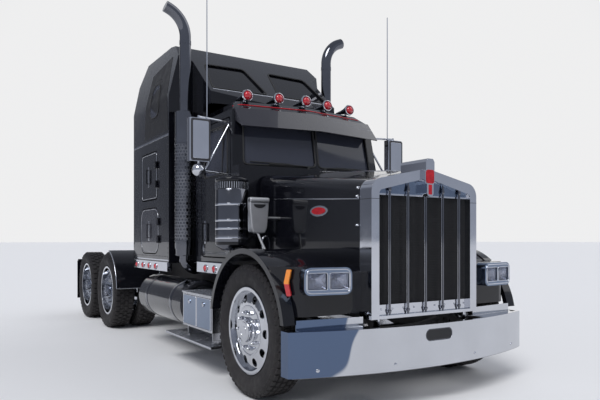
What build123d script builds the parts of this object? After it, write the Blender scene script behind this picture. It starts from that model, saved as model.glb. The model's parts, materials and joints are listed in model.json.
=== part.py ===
"""Long-nosed highway tractor unit with a raised-roof sleeper, in millimetres.

+Z is up and the truck faces -Y, so its own left side is +X.  Stations along Y
are measured from the front axle, with + towards the rear; save() then moves
every piece so that the origin lies on the ground under the middle of the truck.
"""
from build123d import *
from math import cos, radians, sin, sqrt
import os

os.makedirs("parts", exist_ok=True)

# ---- overall sizes -------------------------------------------------------------
LENGTH = 7560                 # bumper nose to the rear end of the frame
FRONT_OVERHANG = 920          # front axle to bumper nose
WHEELBASE = 4450              # front axle to first drive axle
TANDEM_SPACING = 1320         # between the two drive axles
HALF_WIDTH = 1220             # bumper and fenders
TAIL_LAMP = 14                # depth of the tail lamps behind the frame
REAR_END = LENGTH - FRONT_OVERHANG - TAIL_LAMP
DRIVE_AXLES = (WHEELBASE, WHEELBASE + TANDEM_SPACING)

# ---- clearances ----------------------------------------------------------------
PIN_PLAY = 0.08               # radial play at pins and spindles
SEAT = 0.3                    # gap under soft or curved pieces that rest on others
PANEL_GAP = 12                # round a hinged panel

# ---- wheels --------------------------------------------------------------------
TYRE_R = 525
TYRE_W = 280
TREAD_W = 236
BEAD_R = 332
RIM_LIP_R = 345
RIM_W = 232
RIM_WALL = 14
DRUM_R = 210
SPINDLE_R = 50
HUB_R = 84
HAND_HOLE_PITCH_R = 256
HAND_HOLE_R = 34
HAND_HOLES = 10
NUT_FACE_R = 180              # flat ring that carries the wheel nuts
TRACK_FRONT = 1065            # centre of a front tyre from the truck's middle
TRACK_OUTER = 1075            # centre of an outer drive tyre
DUAL_SPACING = 345            # between the middles of twin tyres
FRONT_FACE = 104              # outer side of the front wheel's nut ring, from the tyre's middle
REAR_SEAT = TRACK_OUTER - DUAL_SPACING / 2    # where the twin discs meet
AXLE_Z = TYRE_R

# ---- steering ------------------------------------------------------------------
KINGPIN_X = 900
KINGPIN_R = 22
KNUCKLE_BOSS_HALF = 60        # half height of the beam's kingpin boss
ARM_REACH = 220               # kingpin to tie rod pin, rearward
TIE_ROD_Z = 405

# ---- frame ---------------------------------------------------------------------
RAIL_X = 430                  # outer face of a rail
RAIL_BOTTOM = 690
RAIL_TOP = 950
RAIL_WALL = 9
RAIL_FLANGE = 89
RAIL_FRONT = -620
RAIL_WEB = RAIL_X - RAIL_WALL
PINTLE_SPACING = (86, 44)     # bolts of a tow hook on the rear crossmember
PINTLE_HOLE_R = 7
PINTLE_Z = 820

# ---- bumper --------------------------------------------------------------------
BUMPER_BOTTOM = 281
BUMPER_TOP = 603
BUMPER_SWEEP = 220            # how far the ends lie behind the nose
BUMPER_WALL = 6
BUMPER_RETURN_Y = -600
BUMPER_REACH = 840            # how far ahead of the axle the back bar meets the frame brackets
TOW_SLOT = (280, 92)
TOW_SLOT_Z = 522

# ---- hood, radiator shell and fenders ------------------------------------------
HOOD_PIVOT_Y = -850
HOOD_PIVOT_Z = 520
SHELL_FRONT = -786
SHELL_DEPTH = 140
SHELL_HALF = 557
SHELL_BOTTOM = 652
SHELL_SHOULDER = 1690
SHELL_CROWN = 1805
SHELL_BORDER = 74
GRILLE_TOP = 1583
KICK_TOP = 755                # top of the riveted plate under the grille
GRILLE_BARS = (-370, -185, 0, 185, 370)
HOOD_REAR = 730
HOOD_REAR_HALF = 680
HOOD_REAR_SHOULDER = 1850
HOOD_REAR_CROWN = 1930
HOOD_BOTTOM = 1020
HOOD_WALL = 20
CORNER_R = 110
ARCH_R = 610
FENDER_R = 645
FENDER_FRONT = -665
FENDER_BOTTOM = 690
LIP_BOTTOM = 640
LIP_WIDTH = 92
LAMP_CENTRE = (891, -677, 947)
LAMP_SIZE = (384, 100, 200)
LAMP_YAW = 8
LENS_X = (-88, 88)
LENS_SIZE = (156, 12, 118)

# ---- cab -----------------------------------------------------------------------
CAB_HALF = 880
CAB_FRONT = 770
CAB_REAR = 1840
CAB_BOTTOM = 1020
CAB_WALL = 40
BELT_Z = 1950
BROW_Z = 2520
ROOF_Z = 2630
BROW_HALF = 840
V_SLOPE = 0.16                # how far the windshield falls back for each mm outboard
RAKE = 100                    # windshield lean between belt and brow
DOOR_FRONT = 965
DOOR_REAR = 1670
DOOR_BOTTOM = 1075
DOOR_TOP = 2440
SILL_Z = 1900                 # lower edge of the side glass
HINGE_OUT = 17                # hinge pin outboard of the panel skin
HINGE_PIN_R = 8
HINGE_HEIGHTS = (1250, 1780)
LAMP_STATIONS = (-632, -300, 0, 300, 632)     # x of the five roof lamps
ROOF_LAMP_Z = 2690
ROOF_LAMP_LENGTH = 260
ROOF_LAMP_RADII = (54, 14)    # mouth and tail of a housing
MIRROR_X = (1085, 1290)
WHEEL_CENTRE = (480, 1150, 1765)
WHEEL_TILT = 35               # column's lean towards the driver, from upright
SEAT_Z = 1330                 # top of the seat pedestals and of the bunk box

# ---- sleeper -------------------------------------------------------------------
SLEEPER_HALF = 1030
SLEEPER_FRONT = 2280
SLEEPER_REAR = 3670
SLEEPER_BOTTOM = 993
SLEEPER_WALL = 40
SLEEPER_BELT = 2447
SLEEPER_TOP = 3534
NECK_HALF = 800
FAIRING_FRONT = 1490          # where the raised roof meets the cab roof
# each hatch: its name, y from and to, z from and to, and corner radius
HATCHES = (("vent_door", (2700, 3300, 1740, 2310), 45),
           ("luggage_door", (2640, 3340, 1085, 1630), 150))

# ---- side equipment ------------------------------------------------------------
SIDE_PANELS = (
    {"x": 950, "y": (905, 1640), "z": 955, "top": CAB_BOTTOM, "height": 110, "lamps": (1180, 1400)},
    {"x": 1046, "y": (2300, 3600), "z": 930, "top": SLEEPER_BOTTOM, "height": 110,
     "lamps": (2700, 2950, 3200, 3450)},
)
STACK_X = 940
STACK_Y = 2000
STACK_ELBOW_Z = 925
PIPE_R = 62
SHIELD_R = 110
STACK_TOP = 3840
TANK_X = 900
TANK_Z = 572
TANK_R = 250
TANK_SPAN = (1575, 3050)
CLEANER_X = 1005
CLEANER_Y = 665
CLEANER_R = 150
BOX_SPAN = (772, 1510)
BOX_OUT = 1150
FIFTH_WHEEL_Y = 5050
FIFTH_PIVOT_Z = 1085
FIFTH_TOP = 1215
KINGPIN_LOCK_R = 25.65


# ---- helpers -------------------------------------------------------------------
ON_BASE = (Align.CENTER, Align.CENTER, Align.MIN)


def save(name, *pieces):
    """Write one node: all its solids, moved so that the truck stands about the origin."""
    shift = Location((0, FRONT_OVERHANG - LENGTH / 2, 0))
    solids = [solid.moved(shift) for piece in pieces for solid in piece.solids()]
    export_step(solids[0] if len(solids) == 1 else Compound(solids), f"parts/{name}.step")


def block(x, y, z):
    """Box between pairs of coordinates."""
    middle = [(a + b) / 2 for a, b in (x, y, z)]
    size = [b - a for a, b in (x, y, z)]
    return Pos(*middle) * Box(*size)


def rod(start, end, radius):
    """Round bar between two points."""
    axis = Vector(*end) - Vector(*start)
    base = Plane(origin=start, z_dir=axis)
    return base * Cylinder(radius, axis.length, align=ON_BASE)


def outline(points, radius=0):
    """Closed face through the points, with its corners rounded."""
    if radius:
        return make_face(FilletPolyline(*points, radius=radius, close=True))
    return make_face(Polyline(*points, close=True))


def side_prism(face, x):
    """Face drawn in (y, z), spanning two x values."""
    return Pos(x[0], 0, 0) * extrude(Plane.YZ * face, amount=x[1] - x[0])


def front_prism(face, y):
    """Face drawn in (x, z), spanning two y values."""
    return Pos(0, y[1], 0) * extrude(Plane.XZ * face, amount=y[1] - y[0])


def plan_prism(face, z):
    """Face drawn in (x, y), spanning two z values."""
    return Pos(0, 0, z[0]) * extrude(face, amount=z[1] - z[0])


def both(piece):
    """The left-hand piece and its mirror image on the right."""
    return piece, mirror(piece, about=Plane.YZ)


def turned(profile):
    """Profile drawn in (x, radius), revolved about the X axis."""
    return revolve(Plane.XZ * profile, axis=Axis.X)


def union(pieces):
    """All pieces joined into one body."""
    pieces = list(pieces)
    whole = pieces[0]
    for piece in pieces[1:]:
        whole += piece
    return whole


# ---- wheels --------------------------------------------------------------------
def tyre():
    """Tyre about the X axis, its middle at x = 0, with a hollow carcass."""
    half, tread, bead = TYRE_W / 2, TREAD_W / 2, RIM_W / 2 - RIM_WALL - SEAT
    shoulder_r = TYRE_R - 34
    carcass = 22
    bulge_r = (BEAD_R + TYRE_R) / 2
    right = [(bead, BEAD_R), (bead, RIM_LIP_R + 2), (half, bulge_r), (half - 4, shoulder_r),
             (tread, TYRE_R)]
    left = [(-x, r) for x, r in reversed(right)]
    inner = [(-bead + carcass, BEAD_R), (-half + carcass, bulge_r),
             (-tread + carcass, TYRE_R - 2 * carcass), (tread - carcass, TYRE_R - 2 * carcass),
             (half - carcass, bulge_r), (bead - carcass, BEAD_R)]
    outer_corners = [0, 0, 60, 16, 10, 10, 16, 60, 0, 0]
    inner_corners = [0, 50, 30, 30, 50, 0]
    return turned(outline(right + left + inner, outer_corners + inner_corners))


def rim_barrel():
    """Rim that carries the tyre, without its disc."""
    half = RIM_W / 2
    section = [(-half, BEAD_R - RIM_WALL), (half, BEAD_R - RIM_WALL), (half, RIM_LIP_R),
               (half - RIM_WALL, RIM_LIP_R), (half - RIM_WALL, BEAD_R - SEAT),
               (-half + RIM_WALL, BEAD_R - SEAT), (-half + RIM_WALL, RIM_LIP_R), (-half, RIM_LIP_R)]
    return turned(outline(section))


def wheel_disc(rim_x, shoulder_x, face_x):
    """Disc from the barrel at rim_x to the flat nut ring whose outer side is at face_x."""
    wall = RIM_WALL
    rim_r = BEAD_R - wall + 1
    section = [(rim_x, rim_r), (shoulder_x, NUT_FACE_R + 60), (face_x, NUT_FACE_R), (face_x, HUB_R),
               (face_x - wall, HUB_R), (face_x - wall, NUT_FACE_R), (shoulder_x - wall, NUT_FACE_R + 60),
               (rim_x - 2 * wall, rim_r)]
    disc = turned(outline(section))
    for turn in range(HAND_HOLES):
        angle = radians(turn * 360 / HAND_HOLES)
        y, z = HAND_HOLE_PITCH_R * cos(angle), HAND_HOLE_PITCH_R * sin(angle)
        disc -= rod((-RIM_W, y, z), (RIM_W, y, z), HAND_HOLE_R)
    return disc


def hub_and_drum(flange_x, drum_x, bore_end_x, cap_x):
    """Hub turning on the spindle, wheel flange, brake drum and the closed end cap."""
    hub = rod((bore_end_x, 0, 0), (flange_x, 0, 0), HUB_R - 2)
    hub += rod((flange_x - 24, 0, 0), (flange_x, 0, 0), NUT_FACE_R)
    hub += rod((flange_x - 1, 0, 0), (cap_x, 0, 0), HUB_R)
    drum = rod((drum_x, 0, 0), (flange_x - 24, 0, 0), DRUM_R)
    drum -= rod((drum_x - 1, 0, 0), (flange_x - 44, 0, 0), DRUM_R - 16)
    hub += drum
    return hub - rod((bore_end_x - 1, 0, 0), (flange_x, 0, 0), SPINDLE_R + PIN_PLAY)


def front_wheel():
    """Front rim with its hub, about the tyre's middle."""
    rim = rim_barrel() + wheel_disc(78, 98, FRONT_FACE)
    return rim + hub_and_drum(FRONT_FACE - RIM_WALL, -90, -86, 148)


def twin_wheel():
    """Both drive rims with hub and drum, about the truck's middle."""
    offset = TRACK_OUTER - REAR_SEAT
    outer = rim_barrel() + wheel_disc(-70, -offset + 46, -offset + RIM_WALL)
    inner = mirror(outer, about=Plane.YZ)
    rims = Pos(TRACK_OUTER, 0, 0) * outer + Pos(TRACK_OUTER - DUAL_SPACING, 0, 0) * inner
    return rims + hub_and_drum(REAR_SEAT - RIM_WALL, 640, 650, REAR_SEAT + 170)


def make_wheels():
    """Save the tyres and wheels, front and rear."""
    rubber, front, twins = tyre(), front_wheel(), twin_wheel()
    for side, sign in (("left", 1), ("right", -1)):
        rim = front if sign > 0 else mirror(front, about=Plane.YZ)
        place = Pos(sign * TRACK_FRONT, 0, AXLE_Z)
        save(f"front_tyre_{side}", place * rubber)
        save(f"front_wheel_{side}", place * rim)
        rear = twins if sign > 0 else mirror(twins, about=Plane.YZ)
        for number, station in enumerate(DRIVE_AXLES, 1):
            tyres = [Pos(sign * x, station, AXLE_Z) * rubber
                     for x in (TRACK_OUTER, TRACK_OUTER - DUAL_SPACING)]
            save(f"drive_tyres_{number}_{side}", *tyres)
            save(f"drive_wheels_{number}_{side}", Pos(0, station, AXLE_Z) * rear)


# ---- chassis -------------------------------------------------------------------
def frame():
    """Two channel rails, crossmembers, cab mounts and the drop brackets behind the bumper."""
    web, flange = RAIL_WEB, RAIL_X - RAIL_FLANGE
    channel = [(RAIL_X, RAIL_BOTTOM), (RAIL_X, RAIL_TOP), (flange, RAIL_TOP), (flange, RAIL_TOP - RAIL_WALL),
               (web, RAIL_TOP - RAIL_WALL), (web, RAIL_BOTTOM + RAIL_WALL), (flange, RAIL_BOTTOM + RAIL_WALL),
               (flange, RAIL_BOTTOM)]
    rail = front_prism(outline(channel), (RAIL_FRONT, REAR_END))
    bracket = [(RAIL_FRONT + 60, 930), (RAIL_FRONT, 930), (RAIL_FRONT, 640), (-700, 590), (-830, 560),
               (-BUMPER_REACH, 520), (-BUMPER_REACH, 400), (-720, 400), (RAIL_FRONT + 60, 640)]
    side = rail + side_prism(outline(bracket), (RAIL_X, RAIL_X + 12))
    side += rod((RAIL_X, HOOD_PIVOT_Y, HOOD_PIVOT_Z), (RAIL_X + 12, HOOD_PIVOT_Y, HOOD_PIVOT_Z), 26)
    side += rod((RAIL_X, HOOD_PIVOT_Y, HOOD_PIVOT_Z), (RAIL_X + 44, HOOD_PIVOT_Y, HOOD_PIVOT_Z), 12)
    for y, top in ((900, CAB_BOTTOM), (1700, CAB_BOTTOM), (2450, SLEEPER_BOTTOM), (3500, SLEEPER_BOTTOM)):
        side += block((RAIL_X - 80, RAIL_X), (y - 60, y + 60), (RAIL_TOP, top))
    whole = union(both(side))
    for y in (RAIL_FRONT + 40, 1850, 2600, 3500, WHEELBASE - 500, FIFTH_WHEEL_Y + 60, REAR_END - 400):
        whole += crossmember(y)
    return whole + block((-web, web), (REAR_END - 10, REAR_END), (RAIL_BOTTOM, RAIL_TOP)) - pintle_holes()


def crossmember(y):
    """Channel between the rails, high enough to clear the drive shafts."""
    low, high, wall = 790, RAIL_TOP - RAIL_WALL, 8
    section = [(y - 30, low), (y + 30, low), (y + 30, low + wall), (y - 22, low + wall),
               (y - 22, high - wall), (y + 30, high - wall), (y + 30, high), (y - 30, high)]
    return side_prism(outline(section), (-RAIL_WEB, RAIL_WEB))


def pintle_holes():
    """Bolt holes through the rear crossmember."""
    return union(rod((sx * PINTLE_SPACING[0] / 2, REAR_END - 20, PINTLE_Z + sz * PINTLE_SPACING[1] / 2),
                     (sx * PINTLE_SPACING[0] / 2, REAR_END + 10, PINTLE_Z + sz * PINTLE_SPACING[1] / 2),
                     PINTLE_HOLE_R)
                 for sx in (-1, 1) for sz in (-1, 1))


def engine():
    """Engine block with its mounts, bell housing and gearbox."""
    whole = block((-320, 320), (-430, 700), (600, 960)) + block((-360, 360), (-400, 700), (960, 1480))
    whole += block((-300, 300), (700, 980), (560, 1000)) + block((-210, 210), (980, 1700), (570, 940))
    whole += rod((0, 1700, 690), (0, 1760, 690), 60)
    whole += block((-RAIL_WEB, RAIL_WEB), (-60, 60), (740, 840))
    return whole + block((-RAIL_WEB, RAIL_WEB), (800, 900), (740, 820))


def radiator():
    """Radiator core with the fan shroud behind it."""
    return block((-400, 400), (-600, -500), (RAIL_TOP, 1540)) + block((-330, 330), (-500, -450), (980, 1500))


def drive_shafts():
    """Main shaft from the gearbox and the short shaft between the drive axles."""
    first, second = DRIVE_AXLES
    rear = first - 250
    main = rod((0, 1700, 693), (0, rear + 60, 537), 52) & block((-60, 60), (1760, rear), (400, 900))
    return main, rod((0, first + 210, 540), (0, second - 250, 540), 45)


def front_axle():
    """Dropped forged beam with a vertical kingpin boss at each end."""
    low, high = 368, 460
    boss, neck = KINGPIN_X - 30, KINGPIN_X - 90
    half = [(0, high), (560, high), (neck, AXLE_Z + 50), (boss, AXLE_Z + 50), (boss, AXLE_Z - 50),
            (neck, AXLE_Z - 50), (600, low), (0, low)]
    arm = front_prism(outline(half), (-48, 48))
    pin_boss = rod((KINGPIN_X, 0, AXLE_Z - KNUCKLE_BOSS_HALF), (KINGPIN_X, 0, AXLE_Z + KNUCKLE_BOSS_HALF), 48)
    bore = rod((KINGPIN_X, 0, 300), (KINGPIN_X, 0, 800), KINGPIN_R + PIN_PLAY)
    return union(both(arm + pin_boss - bore))


def drive_axle(y):
    """Housing with its differential bowl and the hollow spindles that carry the hubs."""
    reach = REAR_SEAT - 60
    tube = rod((-620, y, AXLE_Z), (620, y, AXLE_Z), 75)
    bowl = rod((0, y - 130, AXLE_Z), (0, y + 130, AXLE_Z), 205)
    bowl += rod((0, y - 250, 540), (0, y + 210, 540), 70)
    return tube + bowl + rod((-reach, y, AXLE_Z), (reach, y, AXLE_Z), SPINDLE_R)


def suspension():
    """Front leaf packs with hangers, and the rear trailing arms under their air springs."""
    leaf = [(-500, 75), (-300, -5), (-60, -65), (60, -65), (300, -5), (640, 75),
            (640, 120), (300, 50), (60, 15), (-60, 15), (-300, 50), (-500, 120)]
    x = (RAIL_X - 45, RAIL_X + 45)
    hanger = (AXLE_Z + 60, RAIL_BOTTOM)
    left = [side_prism(outline([(y, AXLE_Z + rise) for y, rise in leaf]), x)
            + block(x, (-540, -490), hanger) + block(x, (630, 690), hanger)]
    for axle in DRIVE_AXLES:
        arm = block(x, (axle - 420, axle + 460), (AXLE_Z - 130, AXLE_Z - 75))
        arm += block(x, (axle - 440, axle - 380), (AXLE_Z - 130, RAIL_BOTTOM))
        arm += rod((RAIL_X - 10, axle + 350, AXLE_Z - 76), (RAIL_X - 10, axle + 350, RAIL_BOTTOM), 100)
        left.append(arm)
    return [solid for arm in left for solid in both(arm)]


def bumper():
    """Swept plate with a tow slot, rolled ends, a back bar and the two filler strips."""
    nose, end = -FRONT_OVERHANG, -FRONT_OVERHANG + BUMPER_SWEEP
    z = (BUMPER_BOTTOM, BUMPER_TOP)

    def swept(inset):
        half = HALF_WIDTH - inset
        front = ThreePointArc((-half, end + inset), (0, nose + inset), (half, end + inset))
        back = Polyline((half, end + inset), (half, BUMPER_RETURN_Y), (-half, BUMPER_RETURN_Y),
                        (-half, end + inset))
        return make_face(front + back)

    plate = plan_prism(swept(0), z) - plan_prism(swept(BUMPER_WALL), z)
    lips = plan_prism(swept(1), z) - plan_prism(swept(26), z)
    plate += lips - plan_prism(swept(0), (z[0] + BUMPER_WALL, z[1] - BUMPER_WALL))
    plate -= front_prism(Pos(0, TOW_SLOT_Z) * SlotOverall(*TOW_SLOT), (nose - 10, nose + 60))
    bar = block((-520, 520), (nose + 20, -BUMPER_REACH), (400, 470)) & plan_prism(swept(1), z)
    shelf = plan_prism(swept(2), (z[1] - BUMPER_WALL, z[1])) & block((585, 1125), (nose, -640), z)
    strip = outline([(585, -722), (1125, -652), (1125, -642), (585, -712)])
    shelf += plan_prism(strip, (z[1] - 1, z[1] + 70))
    shelf += block((585, 1125), (-722, -640), (z[1] - BUMPER_WALL, z[1]))
    return union([plate + bar, *both(shelf)])


# ---- tilting hood --------------------------------------------------------------
def crown_face(half, bottom, shoulder, crown, inset=0):
    """Front view of the hood: upright sides, round shoulders and a shallow peak."""
    half, shoulder, crown = half - inset, shoulder - inset, crown - inset
    corners = [(-half, bottom), (-half, shoulder), (0, crown), (half, shoulder), (half, bottom)]
    return outline(corners, [0, CORNER_R - inset, 260, CORNER_R - inset, 0])


def hood_solid(inset, front, rear, bottom):
    """Hood volume between two stations, drawn in by inset."""
    def section(y):
        share = (y - SHELL_FRONT - SHELL_DEPTH) / (HOOD_REAR - SHELL_FRONT - SHELL_DEPTH)
        half = SHELL_HALF + share * (HOOD_REAR_HALF - SHELL_HALF)
        shoulder = SHELL_SHOULDER + share * (HOOD_REAR_SHOULDER - SHELL_SHOULDER)
        crown = SHELL_CROWN + share * (HOOD_REAR_CROWN - SHELL_CROWN)
        return Pos(0, y, 0) * (Plane.XZ * crown_face(half, bottom, shoulder, crown, inset))
    return loft([section(front), section(rear)], ruled=True)


def hood():
    """Hollow hood from the radiator shell back to the cowl."""
    front = SHELL_FRONT + SHELL_DEPTH
    outer = hood_solid(0, front, HOOD_REAR, HOOD_BOTTOM)
    return outer - hood_solid(HOOD_WALL, front - 10, HOOD_REAR + 10, HOOD_BOTTOM - 10)


def radiator_shell():
    """Deep bright surround, its cap housing and the two arms down to the tilt pivot."""
    span = (SHELL_FRONT, SHELL_FRONT + SHELL_DEPTH)
    outer = front_prism(crown_face(SHELL_HALF, SHELL_BOTTOM, SHELL_SHOULDER, SHELL_CROWN), span)
    hole = front_prism(crown_face(SHELL_HALF, SHELL_BOTTOM, SHELL_SHOULDER, SHELL_CROWN, SHELL_BORDER),
                       (span[0] - 10, span[1] + 10))
    shell = outer - (hole & block((-900, 900), (-1000, 0), (SHELL_BOTTOM + 24, 2000)))
    cap = [(-45, 0), (45, 0), (45, 70), (30, 96), (-30, 96), (-45, 70)]
    cap_top = front_prism(Pos(0, SHELL_CROWN - 22) * outline(cap, 8), (SHELL_FRONT - 34, SHELL_FRONT + 260))
    badge_face = Pos(0, GRILLE_TOP + 130) * RectangleRounded(70, 260, 30)
    badge = front_prism(badge_face, (SHELL_FRONT - 34, SHELL_FRONT + 40))
    shell += cap_top - hood_solid(0, SHELL_FRONT + SHELL_DEPTH, HOOD_REAR, HOOD_BOTTOM)
    shell += badge + grille_bars()
    bend = HOOD_PIVOT_Y + 106             # the arm turns up here, so that it passes over the bumper
    arm = [(HOOD_PIVOT_Y, HOOD_PIVOT_Z + 22), (bend - 16, HOOD_PIVOT_Z + 36), (bend, HOOD_PIVOT_Z + 60),
           (bend, SHELL_BOTTOM + 20), (bend + 56, SHELL_BOTTOM + 20), (bend + 56, HOOD_PIVOT_Z + 20),
           (bend + 16, HOOD_PIVOT_Z - 18), (HOOD_PIVOT_Y, HOOD_PIVOT_Z - 22)]
    x = (RAIL_X + 16, RAIL_X + 34)
    pivot = rod((x[0], HOOD_PIVOT_Y, HOOD_PIVOT_Z), (x[1], HOOD_PIVOT_Y, HOOD_PIVOT_Z), 24)
    bore = rod((x[0] - 1, HOOD_PIVOT_Y, HOOD_PIVOT_Z), (x[1] + 1, HOOD_PIVOT_Y, HOOD_PIVOT_Z), 12 + PIN_PLAY)
    return shell + union(both(side_prism(outline(arm), x) + pivot - bore))


def grille_bars():
    """Bright plates above and below the screen with five upright bars in front."""
    inner = SHELL_HALF - SHELL_BORDER
    y = SHELL_FRONT
    kick = block((-inner, inner), (y + 32, y + 42), (SHELL_BOTTOM + 24, KICK_TOP))
    top = crown_face(SHELL_HALF, SHELL_BOTTOM, SHELL_SHOULDER, SHELL_CROWN, SHELL_BORDER)
    header = front_prism(top, (y + 32, y + 42)) & block((-900, 900), (y, 0), (GRILLE_TOP, 2000))
    bars = [rod((x, y + 26, KICK_TOP - 60), (x, y + 26, GRILLE_TOP + 45), 8) for x in GRILLE_BARS]
    return union([kick, header, *bars])


def grille():
    """Flat black screen across the opening."""
    inside = crown_face(SHELL_HALF, SHELL_BOTTOM, SHELL_SHOULDER, SHELL_CROWN, SHELL_BORDER)
    sheet = front_prism(inside, (SHELL_FRONT + 60, SHELL_FRONT + 70))
    return sheet & block((-900, 900), (-1000, 0), (SHELL_BOTTOM + 24, GRILLE_TOP + 20))


def fenders():
    """Left fender: arch, rolled lip and the nose that carries the headlamp."""
    def at(radius, z, sign):
        return (sign * sqrt(radius ** 2 - (z - AXLE_Z) ** 2), z)

    rear_low, front_top = at(FENDER_R, FENDER_BOTTOM, 1), at(FENDER_R, 1052, -1)
    crest = ThreePointArc(rear_low, (0, AXLE_Z + FENDER_R), front_top)
    nose = Polyline(front_top, (-590, 1050), (FENDER_FRONT, 1000), (FENDER_FRONT, 760),
                    (-650, FENDER_BOTTOM), rear_low)
    body = side_prism(make_face(crest + nose), (500, HALF_WIDTH))
    plan = outline([(500, FENDER_FRONT), (1060, -640), (HALF_WIDTH, -420), (HALF_WIDTH, 700), (500, 700)],
                   [0, 120, 160, 0, 0])
    body &= plan_prism(plan, (500, 1300))
    lip_x = (HALF_WIDTH - LIP_WIDTH, HALF_WIDTH + 4)
    lip = rod((lip_x[0], 0, AXLE_Z), (lip_x[1], 0, AXLE_Z), FENDER_R + 8)
    lip &= block(lip_x, (-700, 700), (LIP_BOTTOM, 1300))
    body += lip
    body -= rod((400, 0, AXLE_Z), (1400, 0, AXLE_Z), ARCH_R)
    body -= block((400, SHELL_HALF), (-1000, 0), (0, 2000))
    return body - hood_solid(0, -800, 900, 300) - lamp_body(2 * SEAT)


def lamp_place(offset=(0, 0, 0)):
    """Location of something on the left headlamp, which looks slightly outboard."""
    return Pos(*LAMP_CENTRE) * Rot(0, 0, LAMP_YAW) * Pos(*offset)


def lamp_body(growth=0):
    """Solid outer shape of the left headlamp, grown on every side."""
    width, depth, height = (size + growth for size in LAMP_SIZE)
    face = Plane.XZ * RectangleRounded(width, height, 52)
    return lamp_place() * Pos(0, depth / 2, 0) * extrude(face, amount=depth)


def headlamps():
    """Rounded bezel with two rectangular wells."""
    bezel = lamp_body()
    for x in LENS_X:
        bezel -= lamp_place((x, -LAMP_SIZE[1] / 2, 0)) * Box(LENS_SIZE[0] + 1, 120, LENS_SIZE[2] + 1)
    return bezel


def headlamp_glass():
    """Two lenses just inside the bezel."""
    return [lamp_place((x, -LAMP_SIZE[1] / 2 + 14, 0)) * Box(*LENS_SIZE) for x in LENS_X]


def turn_lamp():
    """Crescent lamp on the outer corner of the fender nose."""
    crescent = outline([(-28, -95), (6, -95), (28, 0), (6, 95), (-28, 95), (-8, 0)], [8, 8, 40, 8, 8, 40])
    return Pos(1138, -566, 937) * Rot(0, 0, 52) * extrude(Plane.XZ * crescent, amount=22)


def hood_mirror():
    """Mirror on the left hood side with its two stays."""
    head = Pos(870, 400, 1460) * Box(188, 70, 320)
    head = fillet(head.edges().filter_by(Axis.Y), 28)
    return head + rod((640, 410, 1440), (800, 402, 1440), 12) + rod((880, 400, 1310), (820, 300, 1085), 12)


# ---- cab -----------------------------------------------------------------------
def cab_ring(y_centre, half, rear, inset):
    """Plan of the cab at one height: a shallow V in front and a square back."""
    front = y_centre + inset * 1.1
    half = half - inset
    return [(-half, front + V_SLOPE * half), (0, front), (half, front + V_SLOPE * half),
            (half, rear - inset), (-half, rear - inset)]


def cab_volume(inset):
    """Outer or inner volume of the cab."""
    low, top = CAB_BOTTOM + inset, ROOF_Z - inset
    base = block((-CAB_HALF + inset, CAB_HALF - inset), (CAB_FRONT + inset, CAB_REAR - inset), (low, BELT_Z))
    belt = Pos(0, 0, BELT_Z) * outline(cab_ring(CAB_FRONT, CAB_HALF, CAB_REAR, inset))
    brow = Pos(0, 0, BROW_Z) * outline(cab_ring(CAB_FRONT + RAKE, BROW_HALF, CAB_REAR, inset))
    crown = Pos(0, 0, top) * outline(cab_ring(CAB_FRONT + RAKE + 150, BROW_HALF - 110, CAB_REAR, inset))
    return base + loft([belt, brow], ruled=True) + loft([brow, crown], ruled=True)


def door_prism(gap):
    """Outline of the left door, grown by gap, through the side wall."""
    y0, y1, z0, z1 = DOOR_FRONT - gap, DOOR_REAR + gap, DOOR_BOTTOM - gap, DOOR_TOP + gap
    corners = [(y0, z0), (y1, z0), (y1, z1), (y0 + 90, z1), (y0, BELT_Z)]
    face = outline(corners, [60 + gap, 60 + gap, 40, 40, 0])
    return side_prism(face, (760, 1000))


def side_glass_face(inset):
    """Side window outline in (y, z)."""
    y0, y1, z0, z1 = DOOR_FRONT + 66 + inset, DOOR_REAR - 66 - inset, SILL_Z + inset, DOOR_TOP - 70 - inset
    return outline([(y0, z0), (y1, z0), (y1, z1), (y0 + 64, z1)], 30)


def windshield_hole(inset):
    """Left half of the windshield opening, cut through the raked front."""
    low, high = BELT_Z + 34 + inset, BROW_Z - 70 - inset
    face = outline([(26 + inset, low), (760 - inset, low), (728 - inset, high), (26 + inset, high)], 36)
    return front_prism(face, (500, 1130))


def cab_shell():
    """Hollow cab with its windshield, doorways and walk-through to the sleeper."""
    shell = cab_volume(0) - cab_volume(CAB_WALL)
    for cut in (door_prism(PANEL_GAP), windshield_hole(0)):
        for piece in both(cut):
            shell -= piece
    shell -= block((-330, 330), (CAB_REAR - 60, CAB_REAR + 10), (CAB_BOTTOM + CAB_WALL, 2300))
    for z in HINGE_HEIGHTS:
        for piece in both(hinge_lugs(CAB_HALF, DOOR_FRONT, z)):
            shell += piece
    return shell


def hinge_lugs(skin_x, front_y, z):
    """Two lugs and their pin, fixed to the panel in front of a hinged one."""
    x, y = skin_x + HINGE_OUT, front_y - 5
    lugs = union(block((skin_x - 3, x), (y - 34, y), (low, low + 14))
                 + rod((x, y, low), (x, y, low + 14), 15) for low in (z - 45, z + 31))
    return lugs + rod((x, y, z - 40), (x, y, z + 40), HINGE_PIN_R)


def hinge_barrel(skin_x, front_y, z):
    """Barrel of the hinged panel, between the lugs."""
    x, y = skin_x + HINGE_OUT, front_y - 5
    barrel = rod((x, y, z - 30), (x, y, z + 30), 15)
    barrel += block((skin_x - 3, x + 4), (y, y + 60), (z - 30, z + 30))
    return barrel - rod((x, y, z - 31), (x, y, z + 31), HINGE_PIN_R + PIN_PLAY)


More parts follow.
